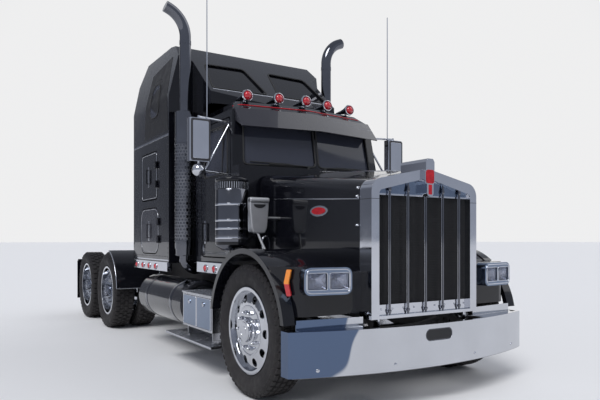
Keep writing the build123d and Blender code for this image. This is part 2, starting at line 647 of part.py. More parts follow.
def door():
    """Left door with its window cut out and hinge barrels, and the pull handle on its skin."""
    panel = (cab_volume(0) - cab_volume(CAB_WALL)) & door_prism(0)
    panel -= side_prism(side_glass_face(0), (600, 1000))
    for z in HINGE_HEIGHTS:
        panel += hinge_barrel(CAB_HALF, DOOR_FRONT, z)
    grip_x, grip_y = CAB_HALF + 34, DOOR_REAR - 90
    grip = rod((grip_x, grip_y, 1230), (grip_x, grip_y, 1420), 11)
    for z in (1236, 1414):
        grip += rod((CAB_HALF, grip_y, z), (grip_x, grip_y, z), 9)
    return [panel, grip]


def door_glass():
    """Side pane, 5 mm thick, standing in the middle of the door frame."""
    middle = CAB_WALL / 2
    pane = cab_volume(middle - 2.5) - cab_volume(middle + 2.5)
    return pane & side_prism(side_glass_face(SEAT), (600, 1000))


def windshields():
    """Two windshield halves."""
    middle = CAB_WALL / 2
    pane = cab_volume(middle - 2.5) - cab_volume(middle + 2.5)
    return both(pane & windshield_hole(SEAT))


def visor():
    """Drop visor: two raked sheets that meet in a V, with end cheeks."""
    top_y, drop_y = CAB_FRONT + RAKE - SEAT, 700
    top_z, drop_z = 2535, 2332

    def section(x):
        back = V_SLOPE * x
        points = [(top_y + back, top_z), (drop_y + back, drop_z), (drop_y + 10 + back, drop_z - 5),
                  (top_y + back, top_z - 14)]
        return Pos(x, 0, 0) * (Plane.YZ * outline(points))

    half = loft([section(0), section(820)], ruled=True)
    back = V_SLOPE * 812
    corners = [(top_y + back, top_z), (drop_y + back, drop_z), (top_y - 26 + back, 2400)]
    return union(both(half + side_prism(outline(corners), (812, 820))))


def roof_lamp_axis(x):
    """Nose and tail of a bullet roof lamp."""
    nose_y = 990 + V_SLOPE * abs(x)
    return (x, nose_y, ROOF_LAMP_Z), (x, nose_y + ROOF_LAMP_LENGTH, ROOF_LAMP_Z)


def roof_lamps():
    """Tapered bullet housings, each on a short foot."""
    housings = []
    for x in LAMP_STATIONS:
        nose, _ = roof_lamp_axis(x)
        body = Plane(origin=nose, z_dir=(0, 1, 0)) * Cone(*ROOF_LAMP_RADII, ROOF_LAMP_LENGTH, align=ON_BASE)
        foot_y = nose[1] + 70
        foot = block((x - 12, x + 12), (foot_y - 30, foot_y + 30), (BROW_Z + 40, ROOF_LAMP_Z))
        housings.append(body + foot - cab_volume(-SEAT))
    return housings


def red_lens(centre, normal, radius, depth):
    """Round lens standing on a surface."""
    return Plane(origin=centre, z_dir=normal) * Cylinder(radius, depth, align=ON_BASE)


def marker_lenses():
    """Red lenses: roof, side panels and tail."""
    lenses = [red_lens(roof_lamp_axis(x)[0], (0, -1, 0), ROOF_LAMP_RADII[0] - 4, 36) for x in LAMP_STATIONS]
    for panel in SIDE_PANELS:
        for y in panel["lamps"]:
            lenses += both(red_lens((panel["x"], y, panel["z"]), (1, 0, 0), 26, 20))
    for x in (250, 350):
        lenses += both(red_lens((x, REAR_END, 820), (0, 1, 0), 48, TAIL_LAMP))
    return lenses


# ---- sleeper -------------------------------------------------------------------
def sleeper_volume(inset):
    """Sleeper body, the neck to the cab and the raised roof that starts on the cab roof."""
    half, rear, low = SLEEPER_HALF - inset, SLEEPER_REAR - inset, SLEEPER_BOTTOM + inset
    body = block((-half, half), (SLEEPER_FRONT + inset, rear), (low, SLEEPER_BELT))
    neck_low, neck_rear = CAB_BOTTOM + inset, SLEEPER_FRONT + 2 * inset
    neck = block((-NECK_HALF + inset, NECK_HALF - inset), (CAB_REAR - inset, neck_rear), (neck_low, 2700))
    top, lean = SLEEPER_TOP - inset, FAIRING_FRONT + 1.7 * inset
    side = outline([(SLEEPER_FRONT + inset, SLEEPER_BELT), (SLEEPER_FRONT + inset, 2700), (lean, 2700),
                    (lean, 2720), (2400, top - 30), (2560, top), (3440, top), (rear, top - 250),
                    (rear, SLEEPER_BELT)])
    front = outline([(-half, SLEEPER_BELT), (-half, 2900), (-half + 130, top), (half - 130, top),
                     (half, 2900), (half, SLEEPER_BELT)])
    narrow = NECK_HALF - inset
    right = [(half, rear), (half, SLEEPER_FRONT + inset), (narrow, SLEEPER_FRONT - 150 + inset),
             (narrow, FAIRING_FRONT + 130), (0, FAIRING_FRONT + inset)]
    plan = outline(right + [(-x, y) for x, y in reversed(right[:-1])])
    raised = side_prism(side, (-half, half)) & front_prism(front, (FAIRING_FRONT, rear))
    raised &= plan_prism(plan, (SLEEPER_BELT, top + 1))
    return body + neck + raised


def hatch_faces(gap):
    """Outlines of the vent door and the luggage door in (y, z)."""
    faces = {}
    for name, (y0, y1, z0, z1), corner in HATCHES:
        points = [(y0 - gap, z0 - gap), (y1 + gap, z0 - gap), (y1 + gap, z1 + gap), (y0 - gap, z1 + gap)]
        faces[name] = outline(points, corner + gap)
    return faces


def skylight_hole(inset):
    """Left skylight in the sloping front of the raised roof."""
    face = outline([(80 + inset, 2905 + inset), (740 - inset, 2895 + inset), (660 - inset, 3250 - inset),
                    (170 + inset, 3265 - inset)], 40)
    return front_prism(face, (1300, 2400))


def sleeper_shell():
    """Hollow sleeper with its doors, skylights and side windows cut."""
    shell = sleeper_volume(0) - sleeper_volume(SLEEPER_WALL)
    shell -= cab_volume(SEAT)
    shell -= block((-330, 330), (CAB_REAR - 80, CAB_REAR + 80), (CAB_BOTTOM + SLEEPER_WALL, 2300))
    span = (SLEEPER_HALF - 80, SLEEPER_HALF + 10)
    cuts = [side_prism(face, span) for face in hatch_faces(PANEL_GAP).values()]
    for cut in cuts + [skylight_hole(0)]:
        for piece in both(cut):
            shell -= piece
    for _, (y0, _, z0, z1), _ in HATCHES:
        for z in (z0 + 170, z1 - 170):
            for piece in both(hinge_lugs(SLEEPER_HALF, y0, z)):
                shell += piece
    return shell


def hatch(name):
    """Left hatch with hinge barrels, and the upright grip on its skin."""
    y0, y1, z0, z1 = next(span for label, span, _ in HATCHES if label == name)
    panel = side_prism(hatch_faces(0)[name], (SLEEPER_HALF - SLEEPER_WALL, SLEEPER_HALF))
    for z in (z0 + 170, z1 - 170):
        panel += hinge_barrel(SLEEPER_HALF, y0, z)
    x, y, z = SLEEPER_HALF + 26, (y0 + y1) / 2 + 20, (z0 + z1) / 2
    grip = rod((x, y, z - 90), (x, y, z + 90), 10)
    for end in (-84, 84):
        grip += rod((SLEEPER_HALF, y, z + end), (x, y, z + end), 8)
    return [panel, grip]


def skylights():
    """Two panes, in the middle of the raised roof's wall."""
    middle = SLEEPER_WALL / 2
    pane = sleeper_volume(middle - 2.5) - sleeper_volume(middle + 2.5)
    return both(pane & skylight_hole(SEAT))


# ---- side equipment ------------------------------------------------------------
def side_lamp_panels():
    """Bright panels under the cab and the sleeper that carry the side marker lamps."""
    pieces = []
    for panel in SIDE_PANELS:
        inside, top = panel["x"] - 60, panel["top"]
        plate = block((inside, panel["x"]), panel["y"], (top - panel["height"], top - SEAT))
        pieces += both(plate + block((700, inside), panel["y"], (top - 12, top - SEAT)))
    return pieces


def air_cleaner():
    """Canister with domed ends and a bracket to the cowl."""
    low, high = 1150, 1825
    body = rod((CLEANER_X, CLEANER_Y, low + 40), (CLEANER_X, CLEANER_Y, high - 30), CLEANER_R)
    body += Pos(CLEANER_X, CLEANER_Y, high - 30) * Cone(CLEANER_R, CLEANER_R - 60, 30, align=ON_BASE)
    body += Pos(CLEANER_X, CLEANER_Y, low) * Cone(CLEANER_R - 60, CLEANER_R, 40, align=ON_BASE)
    for z in (1290, 1640):
        body += block((CAB_HALF - 60, CLEANER_X - 60), (CLEANER_Y + 40, CAB_FRONT - SEAT), (z - 25, z + 25))
    return body


def exhaust_stack():
    """Left stack: elbow from the frame, muffler under its shield and the curved tip."""
    tip = 300
    foot = (RAIL_X + SEAT, STACK_Y, STACK_ELBOW_Z)
    path = FilletPolyline(foot, (STACK_X, STACK_Y, STACK_ELBOW_Z), (STACK_X, STACK_Y, STACK_TOP - 150),
                          (STACK_X + 230, STACK_Y, STACK_TOP - 60), radius=[130, tip])
    start = Plane(origin=foot, z_dir=(1, 0, 0))
    pipe = sweep(start * Circle(PIPE_R), path=path)
    shield = rod((STACK_X, STACK_Y, 1150), (STACK_X, STACK_Y, 2650), SHIELD_R)
    muffler = rod((STACK_X, STACK_Y, 1075), (STACK_X, STACK_Y, 1160), SHIELD_R - 6)
    stays = union(block((NECK_HALF + SEAT, STACK_X), (STACK_Y + 30, STACK_Y + 70), (z - 25, z + 25))
                  for z in (1500, 2300))
    return pipe + shield + muffler + stays


def grab_rail():
    """Upright rail beside the left stack, on two stays from the sleeper's front."""
    x, y = STACK_X + 30, STACK_Y + 190
    low, high = 1250, 2250
    rail = rod((x, y, low), (x, y, high), 12)
    for z in (low + 12, high - 12):
        rail += rod((x, y, z), (x, SLEEPER_FRONT - SEAT, z), 10)
    return rail


def fuel_tank():
    """Round tank with flat ends, on two brackets from the frame rail."""
    y0, y1 = TANK_SPAN
    tank = rod((TANK_X, y0, TANK_Z), (TANK_X, y1, TANK_Z), TANK_R)
    for y in (y0 + 320, y1 - 320):
        tank += block((RAIL_X, TANK_X - 120), (y - 35, y + 35), (TANK_Z - 60, RAIL_BOTTOM + 60))
    return tank


def step_box():
    """Tool box with a tread top, and the running step hung below it."""
    y0, y1 = BOX_SPAN
    box = block((RAIL_X, BOX_OUT), (y0, y1), (390, 720))
    box += block((640, BOX_OUT + 12), (y0, y1), (720, 735))
    box += block((760, 1205), (680, 1870), (262, 290))
    for y in (y0 + 60, y1 - 60):
        box += block((800, 1120), (y - 6, y + 6), (285, 395))
    return box


def quarter_fender(y):
    """Half-round guard over the front of a drive wheel pair, on a stay from the rail."""
    radius, wall = TYRE_R + 70, 6
    x = (TRACK_OUTER - DUAL_SPACING - TYRE_W / 2, HALF_WIDTH - 10)
    ring = rod((x[0], y, AXLE_Z), (x[1], y, AXLE_Z), radius)
    ring -= rod((x[0] - 1, y, AXLE_Z), (x[1] + 1, y, AXLE_Z), radius - wall)
    ring &= block(x, (y - 700, y - 170), (AXLE_Z + 60, 1300))
    stay_z = AXLE_Z + sqrt((radius - 3) ** 2 - 430 ** 2)
    return ring + rod((RAIL_X, y - 430, stay_z), (x[0] + 60, y - 430, stay_z), 16)


def mud_flap():
    """Flap behind the last drive wheels, hung on a bar from the rail."""
    y = REAR_END - 150
    bar = rod((RAIL_X, y, 900), (HALF_WIDTH - 30, y, 900), 18)
    return bar + block((600, HALF_WIDTH - 20), (y - 5, y + 5), (250, 890))


def deck_plate():
    """Catwalk over the frame behind the sleeper."""
    return block((-RAIL_X, RAIL_X), (SLEEPER_REAR + 60, WHEELBASE - 130), (RAIL_TOP, RAIL_TOP + 8))


def fifth_wheel_base():
    """Two brackets on the rails, with the trunnion pins the plate rocks on."""
    y = FIFTH_WHEEL_Y
    foot = block((300, RAIL_X), (y - 380, y + 380), (RAIL_TOP, RAIL_TOP + 14))
    section = outline([(y - 120, RAIL_TOP + 13), (y + 120, RAIL_TOP + 13), (y + 45, FIFTH_PIVOT_Z + 30),
                       (y - 45, FIFTH_PIVOT_Z + 30)])
    cheek = side_prism(section, (330, 352))
    pin = rod((270, y, FIFTH_PIVOT_Z), (352, y, FIFTH_PIVOT_Z), 22)
    tie = block((-320, 320), (y - 340, y - 300), (RAIL_TOP, RAIL_TOP + 14))
    return union([*both(foot + cheek + pin), tie])


def fifth_wheel_plate():
    """Greased top plate with its throat, the closed lock and the ears on the trunnions."""
    y = FIFTH_WHEEL_Y
    right = [(330, y - 480), (465, y - 180), (465, y + 120), (300, y + 470), (90, y + 470), (30, y + 180)]
    corners = [90, 90, 90, 60, 20, 12]
    plan = outline(right + [(-px, py) for px, py in reversed(right)], corners + corners[::-1])
    plate = plan_prism(plan, (FIFTH_TOP - 42, FIFTH_TOP))
    plate += block((-120, 120), (y - 120, y + 178), (FIFTH_TOP - 110, FIFTH_TOP - 30))
    plate -= rod((0, y, FIFTH_TOP - 120), (0, y, FIFTH_TOP + 1), KINGPIN_LOCK_R)
    for ear in both(block((290, 324), (y - 50, y + 50), (FIFTH_PIVOT_Z - 40, FIFTH_TOP - 30))):
        plate += ear
    return plate - rod((-400, y, FIFTH_PIVOT_Z), (400, y, FIFTH_PIVOT_Z), 22 + PIN_PLAY)


# ---- mirrors, cab inside -------------------------------------------------------
def side_mirror():
    """Tall mirror, round mirror, tube arms to the door and the whip antenna."""
    x_mid, y = sum(MIRROR_X) / 2, 1000
    head = block(MIRROR_X, (y - 50, y + 50), (1976, 2380))
    head = fillet(head.edges().filter_by(Axis.Z), 26)
    ball = Pos(x_mid, y, 1900) * Sphere(62)
    foot_x = CAB_HALF - 8
    upper, lower = (foot_x - 40, DOOR_FRONT + 110, 2392), (foot_x - 2, DOOR_FRONT + 70, 1880)
    arms = [(upper, (x_mid, y, 2400)), (lower, (x_mid, y, 1900)), (upper, (x_mid - 60, y, 1898)),
            ((x_mid, y, 1880), (x_mid, y, 2412))]
    whole = head + ball
    for start, end in arms:
        whole += rod(start, end, 11)
    return whole + rod((1104, y, 2370), (1104, y, 3785), 5) - cab_volume(0)


def seats_and_bunk():
    """Two seats on pedestals and the bunk mattress."""
    cushion = block((330, 830), (1180, 1640), (SEAT_Z, SEAT_Z + 110))
    backrest = block((330, 830), (1640.5, 1760), (SEAT_Z + 115, 2050))
    bunk = block((-940, 940), (2900, 3600), (SEAT_Z, SEAT_Z + 170))
    return [*both(cushion), *both(backrest), bunk]


def cab_furniture():
    """Seat pedestals, bunk box, dashboard and steering column."""
    floor = CAB_BOTTOM + CAB_WALL
    pedestal = block((430, 730), (1250, 1780), (floor, SEAT_Z - SEAT))
    pedestal += block((430, 730), (1760 + SEAT, 1780), (floor, 1900))
    sleeper_floor = SLEEPER_BOTTOM + SLEEPER_WALL
    bunk_box = block((-940, 940), (2900, 3600), (sleeper_floor, SEAT_Z - SEAT))
    bunk_box -= block((-950, 950), (2925, 3575), (sleeper_floor + 15, SEAT_Z - 30))
    firewall = CAB_FRONT + CAB_WALL
    section = outline([(firewall, 1300), (1090, 1480), (1060, 1800), (firewall + 30, 1880)])
    dash = side_prism(section, (-CAB_HALF + 60, CAB_HALF - 60))
    column = rod(on_column(-210), on_column(-15 - SEAT), 26)
    return *both(pedestal), bunk_box, dash + column


def on_column(distance):
    """Point on the steering column, measured from the wheel's centre towards the driver."""
    x, y, z = WHEEL_CENTRE
    return x, y + distance * sin(radians(WHEEL_TILT)), z + distance * cos(radians(WHEEL_TILT))


def steering_wheel():
    """Rim, three spokes and boss, square to the column."""
    ring = Torus(228, 16)
    wheel = ring + Cylinder(50, 30)
    for turn in (90, 210, 330):
        wheel += Rot(0, 0, turn) * Pos(125, 0, 0) * Box(190, 34, 12)
    return wheel


# ---- steering linkage ----------------------------------------------------------
def knuckle():
    """Left knuckle: kingpin, yoke round the beam's boss, spindle, backing plate and arm."""
    x, z = KINGPIN_X, AXLE_Z
    reach = KNUCKLE_BOSS_HALF + 1
    plate = block((x + 53, x + 70), (-80, 80), (z - reach - 44, z + reach + 44))
    for low in (z - reach - 44, z + reach):
        plate += block((x - 46, x + 60), (-46, 46), (low, low + 44))
    pin = rod((x, 0, z - reach - 60), (x, 0, z + reach + 60), KINGPIN_R)
    spindle = rod((x + 60, 0, z), (x + 238, 0, z), SPINDLE_R)
    arm = block((x - 24, x + 24), (30, ARM_REACH + 24), (z - reach - 44, z - reach - 16))
    arm -= rod((x, ARM_REACH, 300), (x, ARM_REACH, 600), 12 + PIN_PLAY)
    return plate + pin + spindle + arm


def tie_rod():
    """Tube between the two steering arms, with a pin up through each."""
    x, y = KINGPIN_X, ARM_REACH
    tube = rod((-x, y, 375), (x, y, 375), 20)
    for end in (-x, x):
        tube += rod((end, y, 365), (end, y, 460), 12) + rod((end, y, 355), (end, y, 396), 27)
    return tube


# ---- write every node ----------------------------------------------------------
def make_chassis():
    """Save everything that is fixed to the frame rails."""
    save("frame", frame())
    save("engine", engine())
    save("radiator", radiator())
    save("drive_shafts", *drive_shafts())
    save("front_axle", front_axle())
    save("drive_axles", *[drive_axle(y) for y in DRIVE_AXLES])
    save("suspension", *suspension())
    save("bumper", bumper())
    save("side_lamp_panels", *side_lamp_panels())
    save("air_cleaners", *both(air_cleaner()))
    save("exhaust_stacks", *both(exhaust_stack()), *both(grab_rail()))
    save("fuel_tanks", *both(fuel_tank()))
    save("step_boxes", *both(step_box()))
    save("rear_guards", *both(quarter_fender(WHEELBASE)), *both(mud_flap()))
    save("deck_plate", deck_plate())
    save("fifth_wheel_base", fifth_wheel_base())
    save("fifth_wheel_plate", fifth_wheel_plate())


def make_cab():
    """Save the cab, the sleeper and what is on or in them."""
    save("cab_shell", cab_shell())
    save("windows", *windshields(), *skylights())
    save("visor", visor())
    save("roof_lamps", *roof_lamps())
    save("marker_lenses", *marker_lenses())
    save("sleeper_shell", sleeper_shell())
    save("seats_and_bunk", *seats_and_bunk())
    save("cab_furniture", *cab_furniture())
    save("steering_wheel", Pos(*WHEEL_CENTRE) * Rot(-WHEEL_TILT, 0, 0) * steering_wheel())
    pieces = {"door": door(), "door_glass": [door_glass()], "side_mirror": [side_mirror()],
              "vent_door": hatch("vent_door"), "luggage_door": hatch("luggage_door")}
    for name, solids in pieces.items():
        for side, mirrored in zip(("left", "right"), zip(*[both(solid) for solid in solids])):
            save(f"{name}_{side}", *mirrored)


def make_hood():
    """Save the hood and what tilts with it."""
    fender, lamp = fenders(), turn_lamp()
    save("hood", hood())
    save("radiator_shell", radiator_shell())
    save("grille", grille())
    save("fenders", *both(fender))
    save("headlamps", *both(headlamps()))
    save("headlamp_glass", *[piece for lens in headlamp_glass() for piece in both(lens)])
    save("turn_lamps", *both(lamp - fender))
    save("hood_mirrors", *both(hood_mirror() - fender - hood_solid(0, -600, HOOD_REAR, HOOD_BOTTOM)))


def make_steering():
    """Save the knuckles and the tie rod."""
    left, right = both(knuckle())
    save("knuckle_left", left)
    save("knuckle_right", right)
    save("tie_rod", tie_rod())


make_chassis()
make_cab()
make_hood()
make_steering()
make_wheels()
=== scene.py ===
"""Looks of the long-nosed tractor unit: its finishes, fittings and small repeated parts."""
import json
import math

import bmesh
import bpy
from mathutils import Matrix, Vector
from mathutils.bvhtree import BVHTree


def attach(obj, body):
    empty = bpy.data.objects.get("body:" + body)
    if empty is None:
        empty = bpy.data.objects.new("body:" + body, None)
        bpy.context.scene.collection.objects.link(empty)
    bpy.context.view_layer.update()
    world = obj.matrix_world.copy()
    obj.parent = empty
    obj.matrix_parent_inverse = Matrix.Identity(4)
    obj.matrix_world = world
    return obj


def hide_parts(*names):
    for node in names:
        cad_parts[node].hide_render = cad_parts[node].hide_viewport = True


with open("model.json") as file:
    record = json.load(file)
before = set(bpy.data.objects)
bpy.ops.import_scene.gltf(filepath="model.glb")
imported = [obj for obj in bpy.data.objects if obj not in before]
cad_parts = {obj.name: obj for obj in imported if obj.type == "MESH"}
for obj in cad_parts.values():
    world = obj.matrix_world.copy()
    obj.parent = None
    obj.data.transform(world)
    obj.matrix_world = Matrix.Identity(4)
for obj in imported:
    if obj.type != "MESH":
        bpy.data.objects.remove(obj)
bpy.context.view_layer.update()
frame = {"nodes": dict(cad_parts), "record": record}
RECORD = frame["record"]
FRONT_AXLE = -2.860           # place of the front axle along the truck
SIDES = (("left", 1), ("right", -1))
BODY_OF = {node: body for body, nodes in RECORD["behaviour"]["bodies"].items() for node in nodes}
FORWARD = Vector((0, -1, 0))
BACKWARD = Vector((0, 1, 0))
DOWN = Vector((0, 0, -1))
UP = Vector((0, 0, 1))
FAR = 3.0                     # how far off the skin a ray towards it starts


def at(x, station, z):
    """Point at a station measured rearward from the front axle."""
    return Vector((x, FRONT_AXLE + station, z))


def spaced(first, last, count):
    """Evenly spaced numbers, both ends included."""
    return [first + k * (last - first) / (count - 1) for k in range(count)]


# ---- shader groups -------------------------------------------------------------
class Net:
    """Short way to add and join nodes in one tree."""

    def __init__(self, tree):
        self.tree = tree

    def add(self, kind, values=None, **settings):
        node = self.tree.nodes.new(kind)
        for name, value in settings.items():
            setattr(node, name, value)
        for name, value in (values or {}).items():
            self.put(node, name, value)
        return node

    def put(self, node, name, value):
        """Set a socket, or join another node's output to it."""
        if isinstance(value, bpy.types.NodeSocket):
            self.tree.links.new(value, node.inputs[name])
        else:
            node.inputs[name].default_value = value

    def place(self):
        """Point of the surface in the object's own coordinates."""
        return self.add("ShaderNodeTexCoord").outputs["Object"]

    def split(self, vector):
        return self.add("ShaderNodeSeparateXYZ", {0: vector}).outputs

    def noise(self, place, scale, detail):
        return self.add("ShaderNodeTexNoise", {"Vector": place, "Scale": scale,
                                               "Detail": detail}).outputs["Fac"]

    def maths(self, kind, *values, **settings):
        return self.add("ShaderNodeMath", dict(enumerate(values)), operation=kind, **settings).outputs[0]

    def ranged(self, value, source=(0.0, 1.0), target=(0.0, 1.0), **settings):
        """A value carried from one range to another."""
        ends = {"Value": value, "From Min": source[0], "From Max": source[1], "To Min": target[0],
                "To Max": target[1]}
        return self.add("ShaderNodeMapRange", ends, **settings).outputs[0]

    def mixed(self, mask, first, second):
        """The first colour where the mask is 0, the second where it is 1."""
        node = self.add("ShaderNodeMix", data_type="RGBA")
        for socket, value in ((0, mask), (6, first), (7, second)):
            self.put(node, socket, value)
        return node.outputs[2]


def new_group(name, inputs, outputs, kind="ShaderNodeTree"):
    """Empty node group with named sockets."""
    tree = bpy.data.node_groups.new(name, kind)
    for label, socket, value in inputs:
        made = tree.interface.new_socket(label, in_out="INPUT", socket_type="NodeSocket" + socket)
        if value is not None:
            made.default_value = value
    for label, socket in outputs:
        tree.interface.new_socket(label, in_out="OUTPUT", socket_type="NodeSocket" + socket)
    net = Net(tree)
    return net, net.add("NodeGroupInput").outputs, net.add("NodeGroupOutput")


def finish_grain():
    """Uneven gloss and a fine ripple, as on any painted, plated or moulded skin."""
    net, inp, out = new_group(
        "skin_grain",
        [("Patch size", "Float", 0.3), ("Ripple size", "Float", 0.01), ("Gloss low", "Float", 0.1),
         ("Gloss high", "Float", 0.2), ("Stretch", "Vector", (1.0, 1.0, 1.0))],
        [("Roughness", "Float"), ("Ripple", "Float"), ("Patch", "Float")])
    stretched = net.add("ShaderNodeVectorMath", {0: net.place(), 1: inp["Stretch"]},
                        operation="MULTIPLY").outputs[0]
    patch = net.noise(stretched, net.maths("DIVIDE", 1.0, inp["Patch size"]), 4.0)
    ripple = net.noise(stretched, net.maths("DIVIDE", 1.0, inp["Ripple size"]), 2.0)
    rough = net.ranged(patch, (0.35, 0.65), (inp["Gloss low"], inp["Gloss high"]))
    for label, value in (("Roughness", rough), ("Ripple", ripple), ("Patch", patch)):
        net.put(out, label, value)
    return net.tree


def road_dust():
    """Pale film that thickens towards the road and breaks up in patches."""
    net, inp, out = new_group(
        "road_dust",
        [("Color", "Color", (0.1, 0.1, 0.1, 1)), ("Dust", "Color", (0.25, 0.22, 0.19, 1)),
         ("Reach", "Float", 0.9), ("Amount", "Float", 0.3)],
        [("Color", "Color")])
    place = net.place()
    low = net.ranged(net.split(place)["Z"], (0.0, inp["Reach"]), (1.0, 0.0))
    film = net.maths("MULTIPLY", low, net.noise(place, 7.0, 5.0))
    mask = net.maths("MULTIPLY", film, inp["Amount"], use_clamp=True)
    net.put(out, "Color", net.mixed(mask, inp["Color"], inp["Dust"]))
    return net.tree


def height_band():
    """0 below a height and 1 above it, with a soft edge."""
    net, inp, out = new_group("height_band", [("Height", "Float", 1.0), ("Softness", "Float", 0.01)],
                              [("Mask", "Float")])
    top = net.maths("ADD", inp["Height"], inp["Softness"])
    net.put(out, "Mask", net.ranged(net.split(net.place())["Z"], (inp["Height"], top)))
    return net.tree


GRAIN, DUST, BAND = finish_grain(), road_dust(), height_band()


# ---- finishes ------------------------------------------------------------------
class Finish:
    """One material: a Principled shader fed by the shared groups."""

    def __init__(self, name, color, metal=0.0, **sockets):
        self.name = name
        self.material = bpy.data.materials.new(name)
        self.material.use_nodes = True
        self.net = Net(self.material.node_tree)
        self.shader = self.material.node_tree.nodes["Principled BSDF"]
        self.shader.inputs["Base Color"].default_value = (*color, 1)
        self.shader.inputs["Metallic"].default_value = metal
        self.color = (*color, 1)
        for label, value in sockets.items():
            self.shader.inputs[label.replace("_", " ")].default_value = value

    def group(self, tree, values):
        return self.net.add("ShaderNodeGroup", values, node_tree=tree)

    def painted(self, color):
        """Make this the colour that the shader shows and that later steps work on."""
        self.color = color
        self.net.put(self.shader, "Base Color", color)
        return self

    def relieved(self, height, strength, distance=0.002, **under):
        """Raise the surface by a height, on top of what is under it."""
        values = {"Height": height, "Strength": strength, "Distance": distance, **under}
        self.relief = self.net.add("ShaderNodeBump", values).outputs[0]
        self.net.put(self.shader, "Normal", self.relief)
        return self

    def grain(self, low, high, patch=0.3, ripple=0.01, bump=0.02, stretch=(1, 1, 1), tone=0.0):
        """Gloss that wanders between two roughnesses, with a ripple of a given height."""
        skin = self.group(GRAIN, {"Patch size": patch, "Ripple size": ripple, "Gloss low": low,
                                  "Gloss high": high, "Stretch": stretch}).outputs
        self.net.put(self.shader, "Roughness", skin["Roughness"])
        self.relieved(skin["Ripple"], bump)
        if tone:
            self.tone(skin["Patch"], tone)
        return self

    def tone(self, mask, amount):
        """Lighter and darker patches of the same colour."""
        share = self.net.ranged(mask, (0.3, 0.7), (1 - amount, 1 + amount))
        scaled = self.net.add("ShaderNodeVectorMath", {0: self.color[:3], "Scale": share},
                              operation="SCALE")
        return self.painted(scaled.outputs[0])

    def dust(self, reach, amount, dust=(0.20, 0.185, 0.17, 1)):
        return self.painted(self.group(DUST, {"Color": self.color, "Dust": dust, "Reach": reach,
                                              "Amount": amount}).outputs["Color"])

    def over(self, mask, color):
        """A second colour where the mask is 1."""
        return self.painted(self.net.mixed(mask, self.color, (*color, 1)))

    def above(self, height, color, softness=0.01):
        return self.over(self.group(BAND, {"Height": height, "Softness": softness}).outputs[0], color)

    def painted_reflection_end(self, reach, color):
        """Painted reflection: a second colour towards the right-hand end, past a wandering edge."""
        place = self.net.place()
        split = self.net.split(place)
        leaning = self.net.maths("MULTIPLY_ADD", split["Z"], -0.55, split["X"])
        edge = self.net.maths("MULTIPLY_ADD", self.net.noise(place, 3.2, 0.0), 0.45, leaning)
        return self.over(self.net.ranged(edge, (0.020 - reach, -0.020 - reach),
                                         interpolation_type="SMOOTHSTEP"), color)

    def waves(self, strength, distance, scale):
        """Fine raised bands, on top of the ripple."""
        bands = self.net.add("ShaderNodeTexWave", {"Vector": self.net.place(), "Scale": scale},
                             wave_type="BANDS", bands_direction="X")
        return self.relieved(bands.outputs[0], strength, distance, Normal=self.relief)


